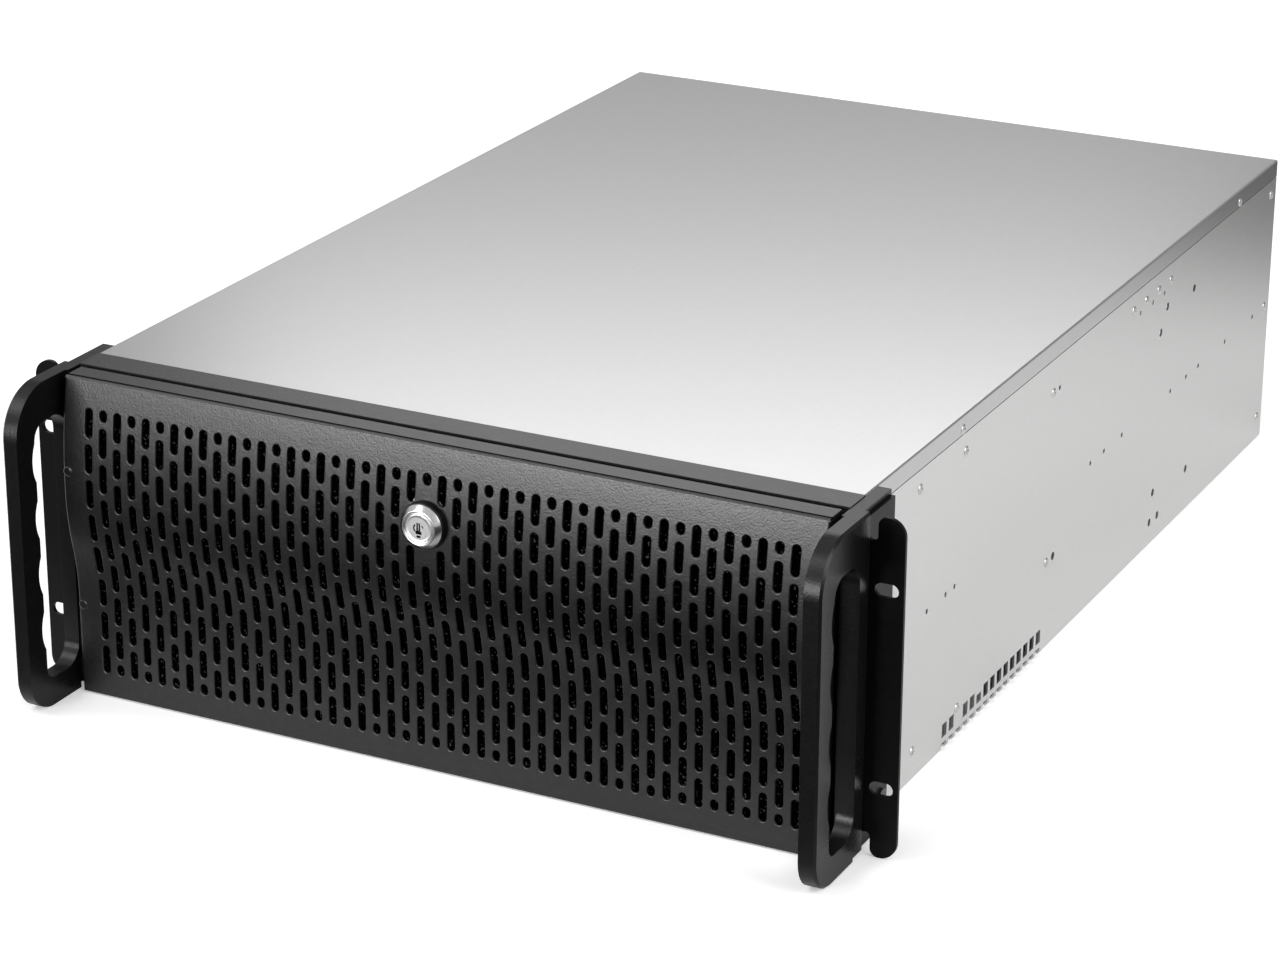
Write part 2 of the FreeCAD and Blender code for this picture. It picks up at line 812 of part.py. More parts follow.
def make_port(label, across):
    """Receptacle: a rectangular metal shell with its tongue."""
    body = new_body(label)
    front = "-frame_depth"
    back = "-frame_depth + wall + panel_block_depth - 3"
    wide = "port_width / 2"
    tall = "port_height / 2"
    shell = [
        box(f"{across} - {wide}", f"{across} + {wide}", f"panel_height - {tall}", f"panel_height + {tall}"),
        box(
            f"{across} - {wide} + 0.4", f"{across} + {wide} - 0.4",
            f"panel_height - {tall} + 0.4", f"panel_height + {tall} - 0.4",
        ),
    ]
    pad(body, "y", front, back, shell)
    floor = box(f"{across} - {wide} + 0.2", f"{across} + {wide} - 0.2", f"panel_height - {tall} + 0.2", f"panel_height + {tall} - 0.2")
    pad(body, "y", f"{back} - 1", back, [floor])
    tongue = box(f"{across} - {wide} + 1.5", f"{across} + {wide} - 1.5", "panel_height", "panel_height + 1.6")
    pad(body, "y", f"{front} + 1", f"{back} - 0.5", [tongue])
    return body


def make_lamps():
    """Two round status lamps, flush with the frame."""
    parts = []
    for number, across in enumerate(lamp_places(), start=1):
        body = new_body(f"status_lamp_{number}")
        back = "-frame_depth + wall + panel_block_depth - 3"
        pad(body, "y", "-frame_depth", back, [(across, "panel_height", "lamp_size / 2")])
        parts.append(body)
    return parts


# ---------------------------------------------------------------- door
def slot(across, up, length):
    """Upright slot with pointed-round ends in few sides."""
    half = "slot_width / 2"
    low = f"{up} - ({length}) / 2"
    high = f"{up} + ({length}) / 2"
    return [
        (f"{across} - {half}", f"{low} + {half}"), (across, low), (f"{across} + {half}", f"{low} + {half}"),
        (f"{across} + {half}", f"{high} - {half}"), (across, high), (f"{across} - {half}", f"{high} - {half}"),
    ]


SLOT_LENGTH = "(slot_rise - slot_web)"
SHORT_LENGTH = "(slot_rise / 2 - slot_web)"


def full_slot(across, row):
    """Slot of the odd columns, a number of rows below the top line."""
    return slot(across, f"slot_top - {SLOT_LENGTH} / 2 - {row} * slot_rise", SLOT_LENGTH)


def staggered_slot(across, row):
    """Slot of the even columns, half a row lower."""
    return slot(across, f"slot_top - slot_rise / 2 - {SLOT_LENGTH} / 2 - {row} * slot_rise", SLOT_LENGTH)


def end_slots(across):
    """Short slots that fill the two ends of an even column."""
    low = f"slot_top - slot_rows * slot_rise + slot_web + {SHORT_LENGTH} / 2"
    return [slot(across, f"slot_top - {SHORT_LENGTH} / 2", SHORT_LENGTH), slot(across, low, SHORT_LENGTH)]


def spread(body, feature, rows, pairs):
    """Repeat a pocket down the rows, then (with pairs) along the door and on its other half."""
    field = body.newObject("PartDesign::MultiTransform", body.Label + "_field")
    field.Originals = [feature]
    moves = []
    for count, pitch, role in ((rows, "slot_rise", "Z_Axis"), (pairs, "2 * slot_pitch", "X_Axis")):
        if count is None:
            continue
        run = body.newObject("PartDesign::LinearPattern", body.Label + "_run")
        run.Direction = (plane(body, role), [""])
        run.Mode = "Spacing"
        run.Reversed = role == "Z_Axis"
        bind(run, "Occurrences", count)
        bind(run, "Offset", pitch)
        moves.append(run)
    if pairs is not None:
        twin = body.newObject("PartDesign::Mirrored", body.Label + "_half")
        twin.MirrorPlane = (plane(body, "YZ_Plane"), [""])
        moves.append(twin)
    field.Transformations = moves
    body.Tip = field
    doc.recompute()
    if "Invalid" in field.State:
        raise RuntimeError(f"{field.Label} failed")


def make_door():
    """Drop-down door: one sheet bent to the wave, with side walls, slots, hinge and lock holes."""
    body = new_body("front_door")
    seam = "-(frame_depth + door_seam)"
    high = "body_height"
    skin = wave_up("0", "door_bottom", high) + [(seam, high), (seam, f"{high} - door_wall")]
    skin += wave_down("door_wall", "door_bottom", f"{high} - door_wall")
    half = "door_width / 2"
    pad(body, "x", f"-({half})", half, [skin])
    top = measure(high)
    wall = measure("door_wall")
    brow = measure(crown_at("0", high)) + shift_y()
    inner_brow = measure(crown_at("door_wall", f"{high} - door_wall")) + shift_y()
    round_edges(
        body, "crown_bend", lambda e: is_along(e, "x") and at(e, z=top) and abs(e.CenterOfMass.y - brow) < 0.05
    )
    round_edges(
        body, "crown_bend - door_wall",
        lambda e: is_along(e, "x") and at(e, z=top - wall) and abs(e.CenterOfMass.y - inner_brow) < 0.05,
    )
    middle = "door_wall / 2"
    cheek = wave_up(middle, "door_bottom", f"{high} - crown_bend") + [
        (f"{crown_at(middle, high)} + crown_bend", f"{high} - {middle}"),
        (seam, f"{high} - {middle}"), (seam, "hinge_height"), ("-hinge_back", "door_bottom"),
    ]
    wall_pad = pad(body, "x", f"{half} - door_wall", half, [cheek])
    hinge = ("-hinge_back", "hinge_height", "hinge_pin / 2 + running_fit")
    bore = pocket(body, "x", f"{half} - door_wall - 1", f"{half} + 1", [hinge])
    mirror(body, [wall_pad, bore])
    front = "-(door_crest + 1)"
    back = "-(door_face - door_wall - 2)"
    last = "(slot_rows - 1)"
    plain = end_slots("0") + [("0", "lock_height", "lock_body / 2 + seat_gap")]
    for side in ("-slot_pitch", "slot_pitch"):
        plain += [full_slot(side, 0), full_slot(side, last)]
    for side in ("-", "+"):
        plain += round_holes([(f"{side} ({half} - door_screw_inset)", up) for up in door_screw_heights()], "door_screw")
    pocket(body, "y", front, back, plain)
    below = [full_slot("-slot_pitch", 2), full_slot("slot_pitch", 2), staggered_slot("0", 2)]
    spread(body, pocket(body, "y", front, back, below), "slot_rows - 3", None)
    edge = [full_slot("3 * slot_pitch", last)] + end_slots("2 * slot_pitch")
    spread(body, pocket(body, "y", front, back, edge), None, "slot_pairs")
    bay = [full_slot("3 * slot_pitch", 0), staggered_slot("2 * slot_pitch", 0)]
    spread(body, pocket(body, "y", front, back, bay), "slot_rows - 1", "slot_pairs")
    return body


def door_screw_heights():
    """Heights of the screws on each side margin of the door."""
    return ("49.5", "125.5")


def make_filter():
    """Foam filter mat that follows the wave behind the slots."""
    body = new_body("filter_mat")
    front = "door_wall + filter_gap"
    band = wave_band(front, f"{front} + filter_thick", "filter_bottom", "filter_top")
    pad(body, "x", "-filter_half", "filter_half", [band])
    pocket(body, "y", "-door_crest", "-door_face + door_wall + filter_thick + 5", [("0", "lock_height", "nut_across / 2 + 3")])
    return body


def make_strip():
    """Right-hand strip that clamps the filter mat to the door's margin."""
    body = new_body("filter_strip_right")
    outer = "door_width / 2 - door_wall - filter_gap"
    back = "door_wall + 2 * filter_gap + filter_thick + strip_wall"
    block = wave_band("door_wall", back, "strip_bottom", "filter_top")
    pad(body, "x", "filter_half + filter_gap", outer, [block])
    lip = wave_band(f"{back} - strip_wall", back, "strip_bottom", "filter_top")
    pad(body, "x", "filter_half - strip_lip", f"filter_half + filter_gap + 1", [lip])
    screws = [("door_width / 2 - door_screw_inset", up) for up in door_screw_heights()]
    pocket(body, "y", "-door_crest", "-door_face + 8", round_holes(screws, "door_screw"))
    return body


# ---------------------------------------------------------------- lock
def lock_body(label):
    """Body whose own Y axis is the axis of the lock."""
    body = new_body(label)
    bind(body, "Placement.Base.z", "lock_height")
    return body


def turned(body, outline):
    """Solid turned about the body's Y axis from an outline of (along, radius) corners."""
    sketch = new_sketch(body, "x", "0", [outline])
    feature = body.newObject("PartDesign::Revolution", body.Label + "_turned")
    feature.Profile = sketch
    feature.ReferenceAxis = (plane(body, "Y_Axis"), [""])
    feature.Angle = 360.0
    doc.recompute()
    return feature


def make_lock():
    """Cam lock: barrel with round head, spacer ring, nut, turning plug, cam and cam nut."""
    head_back = "-lock_front + lock_head_length"
    barrel = lock_body("lock_barrel")
    turned(barrel, [
        ("-lock_front", "plug_size / 2 + running_fit"), ("-lock_front", "lock_head / 2 - 0.8"),
        ("-lock_front + 0.8", "lock_head / 2"), (head_back, "lock_head / 2"),
        (head_back, "lock_body / 2"), ("-lock_back", "lock_body / 2"),
        ("-lock_back", "plug_size / 2 + running_fit"),
    ])
    ring = new_body("lock_ring")
    pad(ring, "y", head_back, "-door_crest + 3", [
        ("0", "lock_height", "ring_outside / 2"), ("0", "lock_height", "lock_body / 2 + seat_gap / 2"),
    ])
    behind = wave_up("-seat_gap / 2", "foot_height - 4", "lock_height + ring_outside")
    behind += [("-door_crest + 12", "lock_height + ring_outside"), ("-door_crest + 12", "foot_height - 4")]
    pocket(ring, "x", "-ring_outside", "ring_outside", [behind])
    nut = new_body("lock_nut")
    seat = crown_at("door_wall", "lock_height + nut_across * 0.6")
    corner = "nut_across / sqrt(3)"
    hexagon = [
        (f"{corner} * {share}", f"lock_height + nut_across / 2 * {rise}")
        for share, rise in ((1, 0), (0.5, 1), (-0.5, 1), (-1, 0), (-0.5, -1), (0.5, -1))
    ]
    pad(nut, "y", f"{seat} + 0.05", f"{seat} + nut_thick", [hexagon, ("0", "lock_height", "lock_body / 2 + seat_gap / 2")])
    plug = lock_body("lock_plug")
    cam_front = "-frame_depth + wall + cam_clearance"
    turned(plug, [
        ("-lock_front + lock_lip", "0"), ("-lock_front + lock_lip", "plug_size / 2"),
        ("-lock_back + lock_lip", "plug_size / 2"), ("-lock_back + lock_lip", "plug_stub / 2"),
        (f"{cam_front} + cam_wall + 3.5", "plug_stub / 2"), (f"{cam_front} + cam_wall + 3.5", "0"),
    ])
    key = box("-key_slot / 2", "key_slot / 2", "-key_length / 2", "key_length / 2")
    pocket(plug, "y", "-lock_front", "-lock_front + 6", [key])
    cam = lock_body("lock_cam")
    half = "cam_width / 2"
    blade = [
        ("0", f"-({half})"), ("cam_reach", f"-({half})"), ("cam_reach", half), ("0", half, half),
        (f"-({half})", "0", half),
    ]
    pad(cam, "y", cam_front, f"{cam_front} + cam_wall", [blade, ("0", "0", "plug_stub / 2 + running_fit")])
    cam_nut = lock_body("cam_nut")
    corner = "cam_nut / sqrt(3)"
    hexagon = [
        (f"{corner} * {share}", f"cam_nut / 2 * {rise}")
        for share, rise in ((1, 0), (0.5, 1), (-0.5, 1), (-1, 0), (-0.5, -1), (0.5, -1))
    ]
    start = f"{cam_front} + cam_wall"
    pad(cam_nut, "y", start, f"{start} + 2.6", [hexagon, ("0", "0", "plug_stub / 2 + running_fit")])
    return [barrel, ring, nut, plug, cam, cam_nut]


# ---------------------------------------------------------------- handles and ears
def make_handle():
    """Right-hand handle: one moulding, a loop in front and a base along the case's side."""
    body = new_body("handle_right")
    high = "handle_top"
    loop = [
        ("-handle_leg", "0"), ("-handle_leg", "handle_step"), ("-ear_front", "handle_step"),
        ("-ear_front", high), ("-handle_reach + handle_top_bend", high, "handle_top_bend"),
        ("-handle_reach", f"{high} - handle_top_bend"), ("-handle_reach", "handle_low_bend", "handle_low_bend"),
        ("-handle_reach + handle_low_bend", "0"),
    ]
    grip = [
        ("-handle_leg - grip_bend", "grip_low", "grip_bend"), ("-handle_leg", "grip_low + grip_bend"),
        ("-handle_leg", "grip_high - grip_bend", "grip_bend"), ("-handle_leg - grip_bend", "grip_high"),
        ("-grip_front + grip_bend * 0.8", "grip_high", "grip_bend * 0.8"),
        ("-grip_front", "grip_high - grip_bend * 0.8"),
    ]
    chord = "sqrt(finger_radius^2 - (finger_radius - finger_depth)^2)"
    for i in (3, 2, 1, 0):
        centre = f"finger_first + {i} * finger_pitch"
        grip.append(("-grip_front", f"{centre} + {chord}", "finger_radius"))
        grip.append(("-grip_front", f"{centre} - {chord}"))
    grip += [("-grip_front", "grip_low + grip_bend * 0.5", "grip_bend * 0.5"), ("-grip_front + grip_bend * 0.5", "grip_low")]
    pad(body, "x", "handle_inside", "handle_outside", [loop, grip])
    outer = measure("handle_outside")
    front = measure("-handle_reach") + shift_y()
    high_z = measure("handle_top")

    def rim_edge(edge):
        box_ = edge.BoundBox
        flat = abs(box_.XMin - outer) < 0.01 and abs(box_.XMax - outer) < 0.01
        return flat and (box_.YMin < front + 1 or box_.ZMax > high_z - 1)

    round_edges(body, "handle_bevel", rim_edge, "Chamfer", "Size")
    base = box("-handle_leg + 1", "handle_tail", "handle_step", high)
    pad(body, "x", "body_width / 2", "handle_base", [base])
    pocket(body, "x", "body_width / 2 - 1", "handle_base + 1", round_holes(ear_screw_places(), "ear_screw"))
    return body


def ear_screw_heights():
    """Heights of the screws through an ear and handle base into the case."""
    return ("ear_screw_inset", "ear_height / 2", "ear_height - ear_screw_inset - 12")


def make_ear():
    """Right-hand rack ear: folded sheet, its web on the handle's base, its flange on the rack."""
    body = new_body("ear_right")
    web_out = "handle_base + ear_wall"
    top = "handle_top - ear_drop"
    web = box("-ear_front", "handle_tail", "handle_step", top)
    pad(body, "x", "handle_base", web_out, [web])
    flange = box("handle_base + ear_wall / 2", "rack_width / 2", "0", "ear_height")
    pad(body, "y", "-ear_front", "-ear_front + ear_wall", [flange])
    outer = measure("rack_width / 2")
    height = measure("ear_height")
    round_edges(body, "ear_corner", lambda e: is_along(e, "y") and at(e, x=outer))
    relief = "ear_relief"
    notch_out = f"{web_out} + {relief}"
    upper = [
        ("handle_base + ear_wall * 0.5", "ear_height + 1"), ("handle_base + ear_wall * 0.5", top), (web_out, top),
        (web_out, f"ear_height - ear_relief_depth + {relief} / 2", f"{relief} / 2.0"),
        (notch_out, f"ear_height - ear_relief_depth + {relief} / 2"), (notch_out, "ear_height + 1"),
    ]
    lower = [
        ("handle_base + ear_wall * 0.5", "-1"), (notch_out, "-1"),
        (notch_out, f"ear_relief_depth - {relief} / 2", f"{relief} / 2.0"),
        (web_out, f"ear_relief_depth - {relief} / 2"), (web_out, "handle_step"),
        ("handle_base + ear_wall * 0.5", "handle_step"),
    ]
    holes = []
    for sense in ("-", "+"):
        holes.append(stadium("rack_hole_span / 2", f"ear_height / 2 {sense} rack_hole_rise / 2", "rack_hole_length", "rack_hole_width"))
    pocket(body, "y", "-ear_front - 1", "-ear_front + ear_wall + 1", [upper, lower] + holes)
    round_edges(body, "ear_corner * 0.5", lambda e: is_along(e, "y") and at(e, x=measure(notch_out)) and (at(e, z=height) or abs(e.CenterOfMass.z) < 0.01))
    pocket(body, "x", "handle_base - 1", f"{web_out} + 1", round_holes(ear_screw_places(), "ear_screw"))
    return body


# ---------------------------------------------------------------- inside
def make_cage(label, middle):
    """Drive cage: a square tube of sheet, open at both ends, with rows of runner slots."""
    body = new_body(label)
    half = "cage_width / 2"
    low = "wall"
    high = "wall + cage_height"
    tube = [
        box(f"{middle} - {half}", f"{middle} + {half}", low, high),
        box(f"{middle} - {half} + cage_wall", f"{middle} + {half} - cage_wall", f"{low} + cage_wall", f"{high} - cage_wall"),
    ]
    pad(body, "y", "cage_front", "cage_front + cage_depth", tube)
    centre = measure(middle)
    for bend, reach in (("cage_bend", half), ("cage_bend - cage_wall", f"{half} - cage_wall")):
        away = measure(reach)
        round_edges(
            body, bend,
            lambda e: is_along(e, "y") and abs(abs(e.CenterOfMass.x - centre) - away) < 0.01,
        )
    slots = []
    for i in range(int(measure("cage_slots"))):
        up = f"wall + cage_height * {i + 1} / (cage_slots + 1)"
        slots.append(box("cage_front + 12", "cage_front + cage_depth - 12", f"{up} - cage_slot / 2", f"{up} + cage_slot / 2"))
    pocket(body, "x", f"{middle} - {half} - 1", f"{middle} + {half} + 1", slots)
    if middle != "0":
        pocket(body, "x", f"{middle} - {half} - 1", f"{middle} + {half} + 1", round_holes(cage_screw_places(), "rivet_shank"))
    return body


def make_fan_wall():
    """Cross wall with three fan openings, flanged to the sides."""
    body = new_body("fan_wall")
    half = "(body_width / 2 - wall - seat_gap / 2)"
    high = "wall + fan_wall_height"
    front = "fan_wall_place"
    pad(body, "y", front, f"{front} + wall", [foot_corners(half) + [(half, high), (f"-{half}", high)]])
    flange = box(f"{half} - wall", half, "wall + corner_bend", f"{high} - 1")
    mirror(body, [pad(body, "y", f"{front} + wall / 2", f"{front} + fan_wall_flange", [flange])])
    pitch = "(body_width / 2 - wall - cage_width / 2)"
    holes = [(place, "wall + fan_wall_height / 2", "fan_wall_hole / 2") for place in (f"-{pitch}", "0", pitch)]
    pocket(body, "y", f"{front} - 1", f"{front} + wall + 1", holes)
    pocket(body, "x", f"-({half} + 1)", f"{half} + 1", round_holes(wall_screw_places(), "rivet_shank"))
    return body


def make_brace():
    """Channel across the top that ties the sides together."""
    body = new_body("top_brace")
    half = "(body_width / 2 - wall - seat_gap / 2)"
    high = "body_height - cover_flange - 0.5 - wall - seat_gap"
    low = f"{high} - brace_height"
    pad(body, "z", f"{high} - wall", high, [box(f"-{half}", half, "brace_front", "brace_front + brace_depth")])
    mirror(body, [pad(body, "z", low, f"{high} - wall / 2", [box(f"{half} - wall", half, "brace_front", "brace_front + brace_depth")])])
    for edge in ("brace_front", "brace_front + brace_depth - wall"):
        pad(body, "z", low, f"{high} - wall / 2", [box(f"-({half} - 2)", f"{half} - 2", edge, f"{edge} + wall")])
    pocket(body, "x", f"-({half} + 1)", f"{half} + 1", round_holes(brace_screw_places(), "rivet_shank"))
    return body


def make_standoffs():
    """Nine hexagonal spacers for the main board."""
    parts = []
    spots = []
    for across in ("board_right", "board_right - board_wide", "board_right - board_wide - board_narrow"):
        for along in ("board_back", "board_back - board_long", "board_back - board_long - board_short"):
            spots.append((across, along))
    for number, (across, along) in enumerate(spots, start=1):
        body = new_body(f"standoff_{number}")
        corner = "standoff_across / sqrt(3)"
        hexagon = [
            (f"{across} + {corner} * {share}", f"{along} + standoff_across / 2 * {rise}")
            for share, rise in ((1, 0), (0.5, 1), (-0.5, 1), (-1, 0), (-0.5, -1), (0.5, -1))
        ]
        pad(body, "z", "wall", "wall + standoff_height", [hexagon])
        parts.append(body)
    return parts


def gather(label, parts):
    """One node out of separate like pieces."""
    group = doc.addObject("Part::Compound", label)
    group.Label = label
    group.Links = parts
    doc.recompute()
    return group


# ---------------------------------------------------------------- fasteners
def make_screws():
    """All groups of like screws, rivets and pins."""
    groups = []
    side = "body_width / 2"
    places = cage_screw_places() + wall_screw_places() + brace_screw_places() + panel_screw_places()
    right = screw_group("side_screw", "x", side, 1, places, "rivet_head", "rivet_rise", "rivet_shank", "wall + cage_wall")
    left = [opposite(f"{screw.Label}_left", screw) for screw in right]
    groups.append(gather("side_screws", right + left))
    right = screw_group("cover_screw", "x", side, 1, cover_screw_places(), "rivet_head", "rivet_rise", "rivet_shank", "cover_wall + seat_gap + wall")
    left = [opposite(f"{screw.Label}_left", screw) for screw in right]
    groups.append(gather("cover_screws", right + left))
    seat = "handle_base + ear_wall"
    reach = f"{seat} - body_width / 2 + 2 * wall + seat_gap / 2"
    right = screw_group("ear_screw", "x", seat, 1, ear_screw_places(), "ear_screw_head", "1.2", "ear_screw", reach)
    left = [opposite(f"{screw.Label}_left", screw) for screw in right]
    groups.append(gather("ear_screws", right + left))
    centre = "door_width / 2 - door_screw_inset"
    low, high = door_screw_heights()
    seat = crown_at("0", f"{high} - door_screw_head / 2")
    right = screw_group("door_screw", "y", seat, -1, [(centre, high)], "door_screw_head", "0.4", "door_screw", "6")
    right += screw_group(
        "door_screw_low", "y", "-door_face", -1, [(centre, low)], "door_screw_head", "0.4", "door_screw", "6",
    )
    left = [opposite(f"{screw.Label}_left", screw) for screw in right]
    groups.append(gather("door_screws", right + left))
    blanks = [
        (f"card_first + {i} * card_pitch", "card_bottom + card_height + blank_tab / 2")
        for i in range(int(measure("card_count")))
    ]
    back = "body_depth - panel_inset"
    groups.append(gather("blank_screws", screw_group(
        "blank_screw", "y", back, 1, blanks, "blank_screw_head", "1.2", "blank_screw", "wall + blank_wall + 1.5",
    )))
    inner = "door_width / 2 - door_wall - lug_gap - lug_wall"
    pin = new_body("hinge_pin_right")
    pad(pin, "x", inner, "door_width / 2", [("-hinge_back", "hinge_height", "hinge_pin / 2")])
    groups.append(gather("hinge_pins", [pin, opposite("hinge_pin_left", pin)]))
    return groups


# ---------------------------------------------------------------- model
def make_case():
    """Every sub-part, in the order in which the case is put together."""
    pitch = "(body_width / 2 - wall - cage_width / 2)"
    handle = make_handle()
    ear = make_ear()
    strip = make_strip()
    nodes = [make_tray(), make_rear_panel(), make_cover(), make_frame(), make_control_block()]
    nodes += [make_button("power_button", *button_places()[0]), make_button("reset_button", *button_places()[1])]
    nodes += [make_port(f"bus_port_{i}", across) for i, across in enumerate(port_places(), start=1)]
    nodes.append(gather("status_lamps", make_lamps()))
    nodes += [make_door(), make_filter(), strip, opposite("filter_strip_left", strip)]
    nodes += make_lock()
    nodes += [handle, opposite("handle_left", handle), ear, opposite("ear_left", ear)]
    nodes += [make_cage("cage_left", f"-{pitch}"), make_cage("cage_middle", "0"), make_cage("cage_right", pitch)]
    nodes += [make_fan_wall(), make_brace(), gather("standoffs", make_standoffs())]
    nodes += [make_slot_blank(i) for i in range(int(measure("card_count")))]
    return nodes + make_screws()


nodes = make_case()
doc.recompute()
for item in doc.Objects:
    if "Invalid" in item.State or "Error" in item.State:
        raise RuntimeError(f"{item.Label} failed: {item.State}")
os.makedirs("parts", exist_ok=True)
for node in nodes:
    if node.Shape.isNull() or not node.Shape.isValid():
        raise RuntimeError(f"{node.Label} has no valid shape")
    node.Shape.exportStep(f"parts/{node.Label}.step")
    box_ = node.Shape.BoundBox
    print(node.Label, len(node.Shape.Solids), round(node.Shape.Volume), [round(v, 1) for v in (box_.XMin, box_.YMin, box_.ZMin, box_.XMax, box_.YMax, box_.ZMax)])
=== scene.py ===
"""Looks of an empty four-unit rackmount server case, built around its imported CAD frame.

The door's sheet and the lock's head, spacer and plug are worked out here as fine surfaces, and
the screws get domed heads with cross recesses. The handles, ears and front frame are copies of
their solids with rounded edges. Every other piece is the CAD solid's form with a finish of its
own. Lengths are in metres, in the frame of the part: +X right as seen from the front, +Y to the
rear, +Z up, origin under the middle of the case.
"""

import logging
import math
from dataclasses import dataclass, field
from enum import Enum

import bpy
import numpy as np
from mathutils import Matrix, Vector

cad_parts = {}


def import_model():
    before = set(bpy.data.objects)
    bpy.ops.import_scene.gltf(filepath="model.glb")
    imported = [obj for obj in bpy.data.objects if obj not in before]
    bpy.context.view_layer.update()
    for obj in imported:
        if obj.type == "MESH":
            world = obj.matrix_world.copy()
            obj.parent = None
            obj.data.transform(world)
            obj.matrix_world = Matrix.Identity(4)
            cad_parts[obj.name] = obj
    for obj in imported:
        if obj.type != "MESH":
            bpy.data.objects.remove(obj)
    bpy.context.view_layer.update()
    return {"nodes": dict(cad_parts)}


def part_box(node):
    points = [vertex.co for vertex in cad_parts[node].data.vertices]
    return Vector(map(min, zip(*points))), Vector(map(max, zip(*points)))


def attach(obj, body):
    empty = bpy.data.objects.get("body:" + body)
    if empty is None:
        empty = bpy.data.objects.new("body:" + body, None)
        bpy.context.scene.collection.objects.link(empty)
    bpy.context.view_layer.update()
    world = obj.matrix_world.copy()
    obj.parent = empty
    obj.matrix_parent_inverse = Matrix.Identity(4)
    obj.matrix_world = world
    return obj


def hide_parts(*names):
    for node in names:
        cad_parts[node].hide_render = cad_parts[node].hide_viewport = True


log = logging.getLogger("rack_case")
MM = 0.001
FRONT_EDGE = -0.2685  # Y of the cover's front edge, from which the door and the lock are placed
WHITE = (1.0, 1.0, 1.0, 1.0)
Colour = tuple[float, float, float]
Place = tuple[float, float, float]
Span = tuple[float, float]
Array = np.ndarray
Piece = bpy.types.Object
Tree = bpy.types.NodeTree


def add_object(name: str, data: bpy.types.ID) -> Piece:
    """Make an object at the origin and link it to the scene.

    Args:
        name: its name.
        data: its mesh, light or camera.

    Returns:
        The object.
    """
    made = bpy.data.objects.new(name, data)
    bpy.context.scene.collection.objects.link(made)
    return made


# ---------------- shader groups
def add_node(
    tree: Tree, kind: str, values: dict | None = None, **settings: object,
) -> bpy.types.Node:
    """Add a shader node.

    Args:
        tree: where it goes.
        kind: its type, without the ShaderNode in front.
        values: starting values of its inputs, by name or number.
        settings: its other settings, which are made first.

    Returns:
        The node.
    """
    node = tree.nodes.new("ShaderNode" + kind)
    for label, value in settings.items():
        setattr(node, label, value)
    for socket, value in (values or {}).items():
        node.inputs[socket].default_value = value
    return node


def join(tree: Tree, *links: tuple) -> None:
    """Join sockets.

    Args:
        tree: where the nodes are.
        links: for each link a node, its output, the next node and its input.
    """
    for source, output, target, entry in links:
        tree.links.new(source.outputs[output], target.inputs[entry])


class Effect(Enum):
    """Shader effects shared by several finishes."""

    GRAIN = "fine grain"
    CLOUDS = "slow cloudy tone"
    ROLLED = "rolled sheet"
    CELLS = "open cells"


